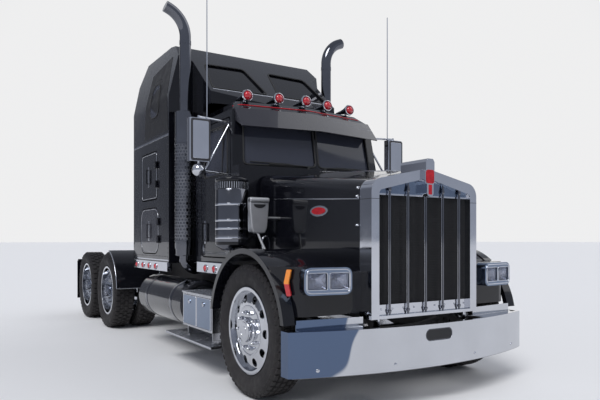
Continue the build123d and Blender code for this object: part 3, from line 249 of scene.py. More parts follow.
ENAMEL = dict(Coat_Weight=1.0, Coat_Roughness=0.025, Coat_IOR=1.36, Specular_IOR_Level=0.12)
FINISHES = {made.name: made for made in (
    Finish("black_enamel", (0.0045, 0.0048, 0.0075), **ENAMEL).grain(
        0.14, 0.26, patch=0.5, ripple=0.02, bump=0.012, tone=0.25).dust(0.9, 0.05),
    Finish("tank_enamel", (0.010, 0.0105, 0.014), **ENAMEL).grain(
        0.16, 0.28, patch=0.4, ripple=0.02, bump=0.015, tone=0.15).dust(1.0, 0.08),
    Finish("panel_enamel", (0.030, 0.030, 0.038), **ENAMEL).grain(
        0.16, 0.28, patch=0.4, ripple=0.02, bump=0.015, tone=0.15).dust(1.3, 0.2),
    Finish("chrome", (0.60, 0.615, 0.66), 1.0).grain(
        0.035, 0.09, patch=0.25, ripple=0.03, bump=0.010, tone=0.05).dust(0.8, 0.10),
    # the bumper's blue-steel right-hand end is a painted reflection, not a colour of the metal
    Finish("bumper_chrome_painted_reflection", (0.60, 0.615, 0.65), 1.0).grain(
        0.05, 0.12, patch=0.35, ripple=0.03, bump=0.012, tone=0.05).painted_reflection_end(
        0.86, (0.115, 0.160, 0.255)).dust(0.8, 0.10),
    Finish("smoked_chrome", (0.150, 0.155, 0.175), 1.0).grain(
        0.05, 0.12, patch=0.25, ripple=0.03, bump=0.010, tone=0.10),
    Finish("smoked_sheet", (0.200, 0.205, 0.225), 1.0).grain(
        0.22, 0.36, patch=0.2, ripple=0.004, bump=0.03, tone=0.15),
    Finish("wheel_metal", (0.62, 0.635, 0.67), 1.0).grain(
        0.06, 0.15, patch=0.1, ripple=0.006, bump=0.02, tone=0.07).dust(0.9, 0.15),
    Finish("stainless", (0.52, 0.53, 0.56), 1.0).grain(
        0.16, 0.3, patch=0.2, ripple=0.004, bump=0.03, stretch=(1, 1, 0.15), tone=0.1),
    Finish("satin_metal", (0.46, 0.465, 0.48), 0.85).grain(
        0.40, 0.52, patch=0.2, ripple=0.004, bump=0.04, tone=0.1),
    Finish("blued_steel", (0.20, 0.25, 0.34), 1.0).grain(
        0.10, 0.2, patch=0.3, ripple=0.01, bump=0.02, tone=0.1),
    Finish("chassis_black", (0.022, 0.022, 0.025)).grain(
        0.42, 0.6, patch=0.15, ripple=0.004, bump=0.12, tone=0.3).dust(1.1, 0.5),
    Finish("cast_metal", (0.075, 0.075, 0.08), 0.3).grain(
        0.5, 0.7, patch=0.1, ripple=0.003, bump=0.4, tone=0.3).dust(1.0, 0.6),
    Finish("greased_steel", (0.22, 0.22, 0.23), 0.9).grain(
        0.28, 0.5, patch=0.12, ripple=0.005, bump=0.15, tone=0.35),
    Finish("screen_black", (0.008, 0.008, 0.010)).grain(
        0.4, 0.55, patch=0.1, ripple=0.003, bump=0.1, tone=0.2),
    # near-black above 2.36 m: painted shade under the visor across the top of the windshield; the higher
    # roof windows fall in the same band
    Finish("tinted_glass", (0.052, 0.057, 0.080), Transmission_Weight=0.30, IOR=1.45).grain(
        0.02, 0.05, patch=0.6, ripple=0.02, bump=0.004).above(2.36, (0.004, 0.004, 0.006), 0.03),
    Finish("side_glass", (0.052, 0.057, 0.080), Transmission_Weight=0.35, IOR=1.45).grain(
        0.02, 0.05, patch=0.6, ripple=0.02, bump=0.004, tone=0.2),
    Finish("lamp_glass", (0.78, 0.80, 0.86), Transmission_Weight=0.96, IOR=1.45).grain(
        0.03, 0.07, patch=0.05, ripple=0.02, bump=0.03).waves(
        0.5, 0.003, 22.0),
    Finish("lamp_bowl", (0.48, 0.50, 0.56), 1.0).grain(
        0.10, 0.22, patch=0.02, ripple=0.01, bump=0.2, tone=0.1),
    Finish("reflector", (0.78, 0.80, 0.84), 1.0).grain(
        0.08, 0.18, patch=0.02, ripple=0.01, bump=0.2, tone=0.1),
    Finish("red_lens", (0.50, 0.008, 0.020), Coat_Weight=1.0, Coat_Roughness=0.05).grain(
        0.15, 0.3, patch=0.02, ripple=0.004, bump=0.15, tone=0.3),
    Finish("amber_lens", (0.50, 0.008, 0.015), Coat_Weight=1.0, Coat_Roughness=0.05).grain(
        0.12, 0.25, patch=0.02, ripple=0.004, bump=0.15).above(0.925, (0.85, 0.25, 0.012), 0.006),
    Finish("tyre_rubber", (0.013, 0.012, 0.014), Specular_IOR_Level=0.3).grain(
        0.55, 0.8, patch=0.06, ripple=0.003, bump=0.25, tone=0.3).dust(1.1, 0.22),
    Finish("flap_rubber", (0.016, 0.016, 0.017)).grain(
        0.6, 0.8, patch=0.1, ripple=0.004, bump=0.25, tone=0.25).dust(1.2, 0.5),
    Finish("moulded_trim", (0.035, 0.035, 0.040)).grain(
        0.5, 0.68, patch=0.1, ripple=0.0015, bump=0.5, tone=0.2),
    Finish("seat_cloth", (0.075, 0.075, 0.088), Sheen_Weight=0.4).grain(
        0.8, 0.95, patch=0.05, ripple=0.0012, bump=0.6, tone=0.3).waves(
        0.5, 0.001, 160.0),
    Finish("bunk_cloth", (0.20, 0.19, 0.20), Sheen_Weight=0.3).grain(
        0.85, 0.95, patch=0.08, ripple=0.002, bump=0.6, tone=0.15),
    Finish("red_enamel", (0.42, 0.010, 0.018), **ENAMEL).grain(
        0.15, 0.25, patch=0.03, ripple=0.01, bump=0.05, tone=0.2),
)}


def material(name):
    return FINISHES[name].material


# ---- meshes --------------------------------------------------------------------
def in_scene(name, data):
    made = bpy.data.objects.new(name, data)
    bpy.context.scene.collection.objects.link(made)
    return made


def new_object(name, mesh, finish):
    """Object at the origin with one finish."""
    mesh.materials.clear()
    mesh.materials.append(material(finish))
    return in_scene(name, mesh)


def mesh_from(bm):
    mesh = bpy.data.meshes.new("mesh")
    bm.to_mesh(mesh)
    bm.free()
    return mesh


def baked(obj, modifiers=()):
    """Plain mesh of the object with its modifiers applied; the object is removed."""
    for kind, settings in modifiers:
        added = obj.modifiers.new(kind.lower(), kind)
        for label, value in settings.items():
            setattr(added, label, value)
    bpy.context.view_layer.update()
    graph = bpy.context.evaluated_depsgraph_get()
    mesh = bpy.data.meshes.new_from_object(obj.evaluated_get(graph))
    old = obj.data
    bpy.data.objects.remove(obj)
    if old.users == 0 and isinstance(old, bpy.types.Mesh):
        bpy.data.meshes.remove(old)
    return mesh


def smooth(mesh, angle):
    """Rounded shading, broken at the edges sharper than the angle."""
    mesh.shade_smooth()
    mesh.set_sharp_from_angle(angle=math.radians(angle))
    return mesh


def softened(mesh, width, segments=2):
    """The mesh with its sharp edges rounded off and its flat faces kept flat."""
    bevel = ("BEVEL", dict(width=width, segments=segments, limit_method="ANGLE",
                           angle_limit=math.radians(32), use_clamp_overlap=True))
    mesh = smooth(baked(in_scene("part", mesh), [bevel] if width else []), 38)
    return baked(in_scene("part", mesh), [("WEIGHTED_NORMAL", dict(keep_sharp=True, weight=80))])


def merged_copy(node):
    """The node's loose triangles joined into a shell of flat faces."""
    bm = bmesh.new()
    bm.from_mesh(frame["nodes"][node].data)
    bmesh.ops.remove_doubles(bm, verts=bm.verts, dist=2e-5)
    bmesh.ops.dissolve_limit(bm, angle_limit=math.radians(0.3), verts=bm.verts, edges=bm.edges)
    return bm


def dress(node, finish, width, name=None, change=None):
    """Piece with the node's own shape, its edges rounded, in place of the node."""
    bm = merged_copy(node)
    if change:
        change(bm)
    piece = new_object(name or node + "_skin", softened(mesh_from(bm), width), finish)
    return stands_for(piece, node)


def stands_for(piece, node):
    """The piece in place of a node, on its body."""
    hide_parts(node)
    return fitted(piece, BODY_OF[node])


def fitted(piece, body):
    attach(piece, body)
    return piece


def add(name, made, finish, body):
    """New piece from a mesh, or from a list of meshes joined into one."""
    mesh = joined(made) if isinstance(made, list) else made
    return fitted(new_object(name, mesh, finish), body)


def joined(meshes):
    """One mesh out of several."""
    bm = bmesh.new()
    for mesh in meshes:
        bm.from_mesh(mesh)
    return mesh_from(bm)


def moved(mesh, matrix):
    """Copy of a mesh, moved; a mirrored copy keeps its faces outwards."""
    copy = mesh.copy()
    copy.transform(matrix)
    if matrix.determinant() < 0:
        copy.flip_normals()
    return copy


def flipped(sign):
    """Mirrors the left-hand side over for sign -1, and leaves it for 1."""
    return Matrix.Scale(sign, 4, Vector((1, 0, 0)))


def both_sides(mesh):
    """The left-hand mesh with its mirror image."""
    return joined([mesh, moved(mesh, flipped(-1))])


def box(low, high):
    bm = bmesh.new()
    made = bmesh.ops.create_cube(bm, size=1.0)
    low, high = Vector(low), Vector(high)
    for vert in made["verts"]:
        vert.co = Vector((low[i] + (vert.co[i] + 0.5) * (high[i] - low[i]) for i in range(3)))
    return mesh_from(bm)


def corners(sign, x, stations, z):
    """Low and high corner of a box given for the left side, put on either side."""
    x = sorted((sign * x[0], sign * x[1]))
    return at(x[0], stations[0], z[0]), at(x[1], stations[1], z[1])


# direction of an axis, and the two coordinates round it
AXES = {"X": (Vector((1, 0, 0)), 1, 2), "Y": (Vector((0, 1, 0)), 2, 0), "Z": (Vector((0, 0, 1)), 0, 1)}


def turned(profile, centre=(0, 0, 0), axis="X", segments=48, closed=False):
    """Profile of (along, radius) points, revolved about an axis through centre."""
    lead, first, second = AXES[axis]
    centre = Vector(centre)
    bm = bmesh.new()
    rings = []
    for along, radius in profile:
        ring = []
        count = segments if radius > 1e-6 else 1
        for k in range(count):
            turn = 2 * math.pi * k / segments
            point = centre + lead * along
            point[first] += radius * math.cos(turn)
            point[second] += radius * math.sin(turn)
            ring.append(bm.verts.new(point))
        rings.append(ring)
    pairs = list(zip(rings, rings[1:])) + ([(rings[-1], rings[0])] if closed else [])
    for a, b in pairs:
        for k in range(segments):
            ends = [a[k % len(a)], a[(k + 1) % len(a)], b[(k + 1) % len(b)], b[k % len(b)]]
            unique = list(dict.fromkeys(ends))
            if len(unique) > 2:
                bm.faces.new(unique)
    bmesh.ops.recalc_face_normals(bm, faces=bm.faces)
    return smooth(mesh_from(bm), 35)


def slab(points, normal, depth, width=0.0, segments=2):
    """Flat outline of 3-D points, given thickness along its normal."""
    bm = bmesh.new()
    face = bm.faces.new([bm.verts.new(Vector(p)) for p in points])
    side = bmesh.ops.extrude_face_region(bm, geom=[face])
    for vert in (v for v in side["geom"] if isinstance(v, bmesh.types.BMVert)):
        vert.co += Vector(normal).normalized() * depth
    bmesh.ops.recalc_face_normals(bm, faces=bm.faces)
    return softened(mesh_from(bm), width, segments)


def tube(points, radius, closed=False, curved=False, sides=8):
    """Round bar along a path, straight from point to point or in one curve."""
    curve = bpy.data.curves.new("path", "CURVE")
    curve.dimensions = "3D"
    curve.bevel_depth = radius
    curve.bevel_resolution = max(1, sides // 4)
    curve.use_fill_caps = not closed
    curve.resolution_u = 8
    spline = curve.splines.new("NURBS" if curved else "POLY")
    spline.points.add(len(points) - 1)
    for point, target in zip(spline.points, points):
        point.co = (*target, 1)
    spline.use_cyclic_u = closed
    if curved:
        spline.order_u = 3
        spline.use_endpoint_u = not closed
    return smooth(baked(in_scene("path", curve)), 50)


# ---- repeated parts ------------------------------------------------------------
def repeat_tree(by_length):
    """Puts a head on the points of each path: Z along "facing", Y along the path."""
    size = ("Spacing", "Float", 0.05) if by_length else ("Count", "Int", 12)
    net, inp, out = new_group(
        "heads_by_spacing" if by_length else "heads_by_count",
        [("Geometry", "Geometry", None), ("Head", "Object", None), ("Finish", "Material", None), size],
        [("Geometry", "Geometry")], "GeometryNodeTree")
    path = net.add("GeometryNodeMeshToCurve", {"Mesh": inp["Geometry"]}).outputs[0]
    kind = "LENGTH" if by_length else "COUNT"
    points = net.add("GeometryNodeResampleCurve", {"Curve": path}, mode=kind)
    net.put(points, "Length" if by_length else "Count", inp[size[0]])
    facing = net.add("GeometryNodeInputNamedAttribute", {"Name": "facing"},
                     data_type="FLOAT_VECTOR").outputs[0]
    tangent = net.add("GeometryNodeInputTangent").outputs[0]
    upright = net.add("FunctionNodeAlignRotationToVector", {"Vector": facing}, axis="Z").outputs[0]
    aligned = net.add("FunctionNodeAlignRotationToVector", {"Rotation": upright, "Vector": tangent},
                      axis="Y", pivot_axis="Z").outputs[0]
    head = net.add("GeometryNodeObjectInfo",
                   {"Object": inp["Head"], "As Instance": True}).outputs["Geometry"]
    placed = net.add("GeometryNodeInstanceOnPoints", {"Points": points.outputs[0], "Instance": head,
                                                      "Rotation": aligned}).outputs[0]
    real = net.add("GeometryNodeRealizeInstances", {0: placed}).outputs[0]
    painted = net.add("GeometryNodeSetMaterial", {"Geometry": real, "Material": inp["Finish"]}).outputs[0]
    net.put(out, "Geometry", painted)
    return net.tree


REPEATS = {"Spacing": repeat_tree(True), "Count": repeat_tree(False)}


def repeated(paths, head, finish, **size):
    """Mesh of heads along paths; each path is (points, facing, closed), facing a vector or one per point."""
    (label, value), = size.items()
    bm = bmesh.new()
    layer = bm.verts.layers.float_vector.new("facing")
    for points, facing, closed in paths:
        many = isinstance(facing, list)
        verts = []
        for k, point in enumerate(points):
            vert = bm.verts.new(point)
            vert[layer] = facing[k] if many else facing
            verts.append(vert)
        for a, b in zip(verts, verts[1:] + ([verts[0]] if closed else [])):
            bm.edges.new((a, b))
    held, stamp = in_scene("paths", mesh_from(bm)), in_scene("head", head)
    added = held.modifiers.new("repeat", "NODES")
    added.node_group = REPEATS[label]
    chosen = {"Head": stamp, "Finish": material(finish), label: value}
    for item in added.node_group.interface.items_tree:
        if item.in_out == "INPUT" and item.name in chosen:
            added[item.identifier] = chosen[item.name]
    mesh = baked(held)
    bpy.data.objects.remove(stamp)
    return mesh


def ring_path(centre, radius, axis="X", outward=True, segments=72, start=0.0):
    """Closed circle about an axis, its heads facing outwards or along the axis."""
    lead, first, second = AXES[axis]
    points, facing = [], []
    for k in range(segments):
        turn = start + 2 * math.pi * k / segments
        spoke = Vector((0, 0, 0))
        spoke[first], spoke[second] = math.cos(turn), math.sin(turn)
        points.append(Vector(centre) + spoke * radius)
        facing.append(spoke if outward else lead)
    return points, facing, True


def dome_head(radius, height, sides=8):
    """Rivet or stud head standing on its base."""
    return turned([(-0.3 * height, radius), (0.3 * height, radius), (0.75 * height, 0.7 * radius),
                   (height, 0)], axis="Z", segments=sides)


# ---- finding the skin ----------------------------------------------------------
class Skin:
    """Surface of a CAD node, to set small parts down on."""

    def __init__(self, *nodes):
        bm = bmesh.new()
        for node in nodes:
            bm.from_mesh(frame["nodes"][node].data)
        self.tree = BVHTree.FromBMesh(bm)
        bm.free()

    def hit(self, start, way):
        """Point and outward normal where a ray from start meets the surface."""
        place, normal, _, _ = self.tree.ray_cast(Vector(start), Vector(way).normalized())
        if place is None:
            raise ValueError(f"nothing in the way from {start} along {way}")
        return place, normal

    def row(self, starts, way, lift=(0, 0, 0), closed=False):
        """Path for heads that stand on the surface under each start."""
        spots = [self.hit(start, way) for start in starts]
        return [place + Vector(lift) for place, _ in spots], [normal for _, normal in spots], closed

    def side(self, sign, station, height):
        """Point on the outside of the truck's flank."""
        return self.hit(at(sign * FAR, station, height), (-sign, 0, 0))


def patch(skin, ends, way, lift, thickness, steps, width):
    """Sheet over a four-cornered area, projected along a direction onto the skin."""
    a, b, c, d = (Vector(end) for end in ends)
    way = Vector(way).normalized()
    bm = bmesh.new()
    grid = []
    for i in range(steps[0] + 1):
        s = i / steps[0]
        row = []
        for j in range(steps[1] + 1):
            t = j / steps[1]
            target = a.lerp(b, s).lerp(d.lerp(c, s), t)
            place, _ = skin.hit(target - way * FAR, way)
            row.append(bm.verts.new(place - way * lift))
        grid.append(row)
    for i in range(steps[0]):
        for j in range(steps[1]):
            bm.faces.new((grid[i][j], grid[i + 1][j], grid[i + 1][j + 1], grid[i][j + 1]))
    bm.normal_update()
    if bm.faces[:][0].normal.dot(way) > 0:
        bmesh.ops.reverse_faces(bm, faces=bm.faces)
    thick = bmesh.ops.extrude_face_region(bm, geom=list(bm.faces), use_keep_orig=True)
    for vert in (v for v in thick["geom"] if isinstance(v, bmesh.types.BMVert)):
        vert.co += way * thickness
    bmesh.ops.recalc_face_normals(bm, faces=bm.faces)
    bmesh.ops.dissolve_limit(bm, angle_limit=math.radians(0.5), verts=bm.verts, edges=bm.edges)
    return softened(mesh_from(bm), width)


def rounded_box(low, high, radius, steps=6):
    """Outline of a rectangle between two 2-D corners, its own corners replaced by arcs."""
    return round_outline([low, (high[0], low[1]), high, (low[0], high[1])], radius, steps)


def round_outline(points, radius, steps=6):
    """Outline with each corner replaced by an arc; points are 2-D."""
    result = []
    count = len(points)
    for k in range(count):
        before, here, after = (Vector(points[(k + d) % count]) for d in (-1, 0, 1))
        into, out = (before - here), (after - here)
        reach = min(radius, into.length / 2.05, out.length / 2.05)
        start, end = here + into.normalized() * reach, here + out.normalized() * reach
        for step in range(steps + 1):
            t = step / steps
            result.append(tuple((1 - t) ** 2 * start + 2 * t * (1 - t) * here + t * t * end))
    return result


# ---- tyres ---------------------------------------------------------------------
AXLE_HEIGHT = 0.525
TYRE_R = 0.525
TREAD_BASE = 0.5112
FRONT_TRACK = 1.065
OUTER_TRACK = 1.075
DUAL_SPACING = 0.345
DRIVE_STATIONS = (4.450, 5.770)


def carcass():
    """Sidewalls with their raised rings, and the flat tread base, about x = 0."""
    flank = [(0.1010, 0.3330), (0.1012, 0.3470), (0.1060, 0.3500), (0.1180, 0.3600), (0.1195, 0.3665),
             (0.1225, 0.3680), (0.1270, 0.3820), (0.1290, 0.3835), (0.1340, 0.4020), (0.1380, 0.4210),
             (0.1396, 0.4350), (0.1398, 0.4400), (0.1384, 0.4415), (0.1384, 0.4470), (0.1396, 0.4485),
             (0.1392, 0.4560), (0.1372, 0.4720), (0.1362, 0.4735), (0.1340, 0.4850), (0.1290, 0.4980),
             (0.1230, 0.5065), (0.1170, TREAD_BASE)]
    other = [(-x, r) for x, r in reversed(flank)]
    liner = [(-0.083, 0.3360), (-0.116, 0.4350), (-0.094, 0.4880), (0.094, 0.4880), (0.116, 0.4350),
             (0.083, 0.3360)]
    return turned(flank + other + liner, segments=96, closed=True)


def tread_block(across, along, rise, taper=0.82):
    """Rubber block standing on the tread base: X across, Y round the tyre."""
    bm = bmesh.new()
    bmesh.ops.create_cube(bm, size=1.0)
    for vert in bm.verts:
        share = taper if vert.co.z > 0 else 1.0
        vert.co = Vector((vert.co.x * across * share, vert.co.y * along * share,
                          rise if vert.co.z > 0 else -0.003))
    bmesh.ops.bevel(bm, geom=[e for e in bm.edges if e.verts[0].co.z > 0 or e.verts[1].co.z > 0],
                    offset=0.0022, segments=1, affect="EDGES")
    return mesh_from(bm)


def tyre(rows, blocks, along):
    """Carcass with rows of blocks; rows are (place across, width, share of a step they are turned by)."""
    meshes = [carcass()]
    for x, across, shift in rows:
        turn = shift * 2 * math.pi / blocks
        path = ring_path((x, 0, 0), TREAD_BASE, start=turn)
        block = tread_block(across, along, TYRE_R - TREAD_BASE - 0.0004)
        meshes.append(repeated([path], block, "tyre_rubber", Count=blocks))
    for sign in (1, -1):
        points, spokes, closed = ring_path((sign * 0.1285, 0, 0), 0.4975)
        leaning = [(spoke + Vector((sign * 0.95, 0, 0))).normalized() for spoke in spokes]
        lug = tread_block(0.024, along * 0.72, 0.0062, 0.8)
        meshes.append(repeated([(points, leaning, closed)], lug, "tyre_rubber", Count=blocks))
    return joined(meshes)


def shoulder_safe(mesh, half=0.1400, radius=TYRE_R):
    """Keep every point inside the tyre's own size."""
    for vert in mesh.vertices:
        vert.co.x = max(-half, min(half, vert.co.x))
        reach = math.hypot(vert.co.y, vert.co.z)
        if reach > radius:
            vert.co.y *= radius / reach
            vert.co.z *= radius / reach
    return mesh


def make_tyres():
    rib = shoulder_safe(tyre([(0.0965, 0.040, 0), (0.0495, 0.038, 0.3), (0, 0.040, 0.6),
                              (-0.0495, 0.038, 0.3), (-0.0965, 0.040, 0)], 52, 0.055))
    lug = shoulder_safe(tyre([(0.0875, 0.058, 0), (0.0290, 0.048, 0.5), (-0.0290, 0.048, 0),
                              (-0.0875, 0.058, 0.5)], 42, 0.062))
    for side, sign in SIDES:
        flip = flipped(sign)
        front = moved(rib, Matrix.Translation(at(sign * FRONT_TRACK, 0, AXLE_HEIGHT)) @ flip)
        stands_for(new_object(f"rib_tyre_{side}", front, "tyre_rubber"), f"front_tyre_{side}")
        for number, station in enumerate(DRIVE_STATIONS, 1):
            pair = [moved(lug, Matrix.Translation(at(sign * x, station, AXLE_HEIGHT)) @ flip)
                    for x in (OUTER_TRACK, OUTER_TRACK - DUAL_SPACING)]
            made = new_object(f"lug_tyres_{number}_{side}", joined(pair), "tyre_rubber")
            stands_for(made, f"drive_tyres_{number}_{side}")


# ---- wheel fittings ------------------------------------------------------------
def nut_cover():
    """Pointed cover over a wheel nut, standing along Z."""
    skirt = turned([(-0.002, 0.0175), (0.012, 0.0175), (0.014, 0.0150), (0.014, 0)], axis="Z", segments=6)
    point = turned([(0.010, 0.0135), (0.020, 0.0128), (0.034, 0.0085), (0.043, 0.0030), (0.045, 0)],
                   axis="Z", segments=12)
    return joined([skirt, point])


def hub_cover(face, end):
    """Stepped cover over the hub, from the nut ring to the outermost point."""
    return turned([(face - 0.002, 0.106), (face + 0.006, 0.106), (face + 0.010, 0.101),
                   (face + 0.012, 0.0885), (end - 0.012, 0.0870), (end - 0.003, 0.0820),
                   (end + 0.0012, 0.0700), (end + 0.0012, 0.0560), (end - 0.003, 0.0530),
                   (end - 0.003, 0.0400), (end + 0.0022, 0.0360), (end + 0.0026, 0)], segments=40)


def make_wheel_fittings():
    """Nut covers, hub covers and a rolled bead round each rim."""
    for side, sign in SIDES:
        flip = flipped(sign)
        nuts = repeated([ring_path((0.1035, 0, 0), 0.144, outward=False, segments=60)], nut_cover(),
                        "wheel_metal", Count=10)
        bead = turned([(0.1160, 0.3400), (0.1172, 0.3430), (0.1160, 0.3465), (0.1120, 0.3470),
                       (0.1130, 0.3400)], segments=72, closed=True)
        dish = turned([(0.1035, 0.186), (0.1060, 0.190), (0.1060, 0.196), (0.1030, 0.200), (0.0990, 0.190)],
                      segments=64, closed=True)
        fittings = joined([nuts, hub_cover(0.104, 0.148), bead, dish])
        place = Matrix.Translation(at(sign * FRONT_TRACK, 0, AXLE_HEIGHT)) @ flip
        add(f"front_wheel_fittings_{side}", moved(fittings, place), "chrome", f"front_roller_{side}")
        for number, station in enumerate(DRIVE_STATIONS, 1):
            nuts = repeated([ring_path((0.9160, 0, 0), 0.144, outward=False, segments=60)], nut_cover(),
                            "wheel_metal", Count=10)
            edge = Matrix.Translation((OUTER_TRACK, 0, 0))
            fittings = joined([nuts, hub_cover(0.9165, 1.0725), moved(bead, edge)])
            place = Matrix.Translation(at(0, station, AXLE_HEIGHT)) @ flip
            add(f"drive_wheel_fittings_{number}_{side}", moved(fittings, place), "chrome",
                f"drive_roller_{number}_{side}")


# ---- grille --------------------------------------------------------------------
SHELL_FRONT = -0.786
GRILLE_HALF = 0.483
GRILLE_SPAN = (0.700, 1.600)
KICK_TOP = 0.755
GRILLE_TOP = 1.583
BAR_PLACES = (-0.370, -0.185, 0.0, 0.185, 0.370)


def make_grille():
    """Woven wires, bar covers with pointed ends, plate rivets, badge and seams."""
    forward = Vector((0, -1, 0))
    depth = SHELL_FRONT + 0.054
    middle = sum(GRILLE_SPAN) / 2
    wires = []
    for ends, reach, count in (((at(0.006 - GRILLE_HALF, depth, middle), at(GRILLE_HALF - 0.006, depth,
                                                                            middle)), 0.448, 76),
                               ((at(0, depth + 0.002, GRILLE_SPAN[0]), at(0, depth + 0.002,
                                                                          GRILLE_SPAN[1])), 0.482, 70)):
        wire = turned([(-reach, 0.0), (-reach, 0.0016), (reach, 0.0016), (reach, 0.0)], segments=4)
        wires.append(repeated([(ends, forward, False)], wire, "screen_black", Count=count))
    wires = joined(wires)
    add("grille_wires", wires, "screen_black", "tilt_hood")

    covers = []
    for x in BAR_PLACES:
        low, high = at(x - 0.009, SHELL_FRONT + 0.010, KICK_TOP - 0.05), at(x + 0.009, SHELL_FRONT + 0.020,
                                                                          GRILLE_TOP + 0.03)
        covers.append(softened(box(low, high), 0.004))
        for tip, length in ((GRILLE_TOP + 0.040, 0.075), (KICK_TOP - 0.045, -0.050)):
            spear = turned([(-0.022 * math.copysign(1, length), 0.0), (0, 0.020), (length, 0.0)],
                           axis="Z", segments=4)
            spear.transform(Matrix.Rotation(math.pi / 4, 4, "Z"))
            spear.transform(Matrix.Diagonal((1.0, 0.55, 1.0, 1.0)))
            spear.transform(Matrix.Translation(at(x, SHELL_FRONT + 0.016, tip)))
            covers.append(spear)
    add("grille_bar_covers", covers, "smoked_chrome", "tilt_hood")

    row = ([at(-0.44, SHELL_FRONT + 0.032, 0.722), at(0.44, SHELL_FRONT + 0.032, 0.722)], forward, False)
    rivets = repeated([row], dome_head(0.009, 0.005), "chrome", Count=9)
    add("kick_plate_rivets", rivets, "chrome", "tilt_hood")
    header = slab([at(x, SHELL_FRONT + 0.0312, z) for x,
                   z in ((-0.470, GRILLE_TOP + 0.012), (0.470, GRILLE_TOP + 0.012), (0.470, 1.610),
                         (0.420, 1.655), (0, 1.716), (-0.420, 1.655), (-0.470, 1.610))], (0, -1, 0), 0.0022,
                  0.001)
    add("header_plate", header, "blued_steel", "tilt_hood")

    # plain two-part badge on its own bright block, below the cap
    blocks, plates = [], []
    for half, low, high, turn in ((0.050, 1.676, 1.800, 0.026), (0.027, 1.590, 1.684, 0.010)):
        for grow, store, start, depth in ((0.0, blocks, 0.033, 0.064), (-0.008, plates, -0.030, 0.005)):
            shape = rounded_box((-half - grow, low - grow), (half + grow, high + grow), turn + grow / 2, 5)
            store.append(slab([at(x, SHELL_FRONT + start, z) for x, z in shape], (0, -1, 0), depth, 0.0015))
    add("badge_block", blocks, "chrome", "tilt_hood")
    add("badge_plates", plates, "red_enamel", "tilt_hood")
    seams = []
    for sign in (1, -1):
        seams.append(box(*corners(sign, (0.484, 0.5575), (SHELL_FRONT - 0.0006, SHELL_FRONT + 0.139),
                                  (1.5490, 1.5525))))
    add("shell_seams", seams, "screen_black", "tilt_hood")


# ---- hood ----------------------------------------------------------------------
def make_hood_fittings():
    """Crest hinge, side seam mouldings, latches and the plain capsule badges."""
    skin = Skin("hood")
    crest = [skin.hit(at(0, station, 2.5), DOWN)[0] for station in spaced(-0.630, 0.725, 15)]
    end = crest[0]
    hinge = joined([tube([p + UP * 0.001 for p in crest], 0.006), box((-0.022, end.y, end.z - 0.001),
                                                                      (0.022, end.y + 0.001, end.z))])
    add("hood_crest_hinge", hinge, "chrome", "tilt_hood")

    seams, knobs, badges, rims, catches = [], [], [], [], []
    stud = turned([(-0.004, 0.013), (0.004, 0.013), (0.010, 0.009), (0.014, 0.010), (0.018, 0.006),
                   (0.0185, 0)], axis="Z", segments=14)
    for sign in (1, -1):
        line = [skin.side(sign, s, 1.556 + 0.054 * (s + 0.615))[0] for s in spaced(-0.640, 0.722, 16)]
        seams.append(tube(line, 0.0042))
        outward = Vector((sign, 0, 0))
        for height in (1.640, 1.575, 1.356):
            place, _ = skin.side(sign, -0.622, height)
            knobs.append(([place, place + Vector((0, 0.001, 0))], outward, False))
        centre, normal = skin.side(sign, -0.153, 1.482)
        ahead = (FORWARD - normal * FORWARD.dot(normal)).normalized()
        upright = normal.cross(ahead)
        if upright.z < 0:
            upright = -upright
        for rise, half, store in ((0.005, (0.114, 0.044), rims), (0.008, (0.090, 0.030), badges)):
            shape = [(half[0] * math.cos(k * math.pi / 24), half[1] * math.sin(k * math.pi / 24))
                     for k in range(48)]
            points = [centre + ahead * u + upright * v for u, v in shape]
            store.append(slab(points, normal, rise, 0.0015))
        top, _ = skin.side(sign, 0.640, 1.275)
        low, _ = skin.side(sign, 0.625, 1.140)
        swell = Vector((sign * 0.034, 0, 0))
        catches.append(tube([top, top + swell * 0.8, (top + low) / 2 + swell * 1.2, low + swell * 0.8, low],
                            0.009, curved=True))
    add("hood_side_mouldings", seams, "chrome", "tilt_hood")
    studs = repeated(knobs, stud, "chrome", Count=2)
    add("hood_latch_studs", studs, "chrome", "tilt_hood")
    add("side_badge_rims", rims, "chrome", "tilt_hood")
    add("side_badges", badges, "red_enamel", "tilt_hood")
    add("hood_catches", catches, "chrome", "tilt_hood")


# ---- headlamps -----------------------------------------------------------------
LAMP_CENTRE = (0.891, -0.677, 0.947)
LAMP_YAW = math.radians(8)
LENS_PLACES = (-0.088, 0.088)
LENS_HALF = (0.078, 0.059)


def lamp_bowl(x):
    """Rectangular reflector that narrows towards its bulb, in the lamp's own frame."""
    rings = []
    bm = bmesh.new()
    for depth, share in ((0.0, 1.0), (0.012, 0.86), (0.026, 0.62), (0.038, 0.34), (0.042, 0.14)):
        half = (LENS_HALF[0] * share - 0.001, LENS_HALF[1] * share - 0.001)
        shape = rounded_box((-half[0], -half[1]), half, min(half) * (0.25 + 0.7 * (1 - share)), 4)
        rings.append([bm.verts.new((x + u, -0.034 + depth, v)) for u, v in shape])
    for a, b in zip(rings, rings[1:]):
        for k in range(len(a)):
            bm.faces.new((a[k], a[(k + 1) % len(a)], b[(k + 1) % len(a)], b[k]))
    bm.faces.new(rings[-1])
    bmesh.ops.recalc_face_normals(bm, faces=bm.faces)
    bmesh.ops.reverse_faces(bm, faces=bm.faces)
    return smooth(mesh_from(bm), 40)


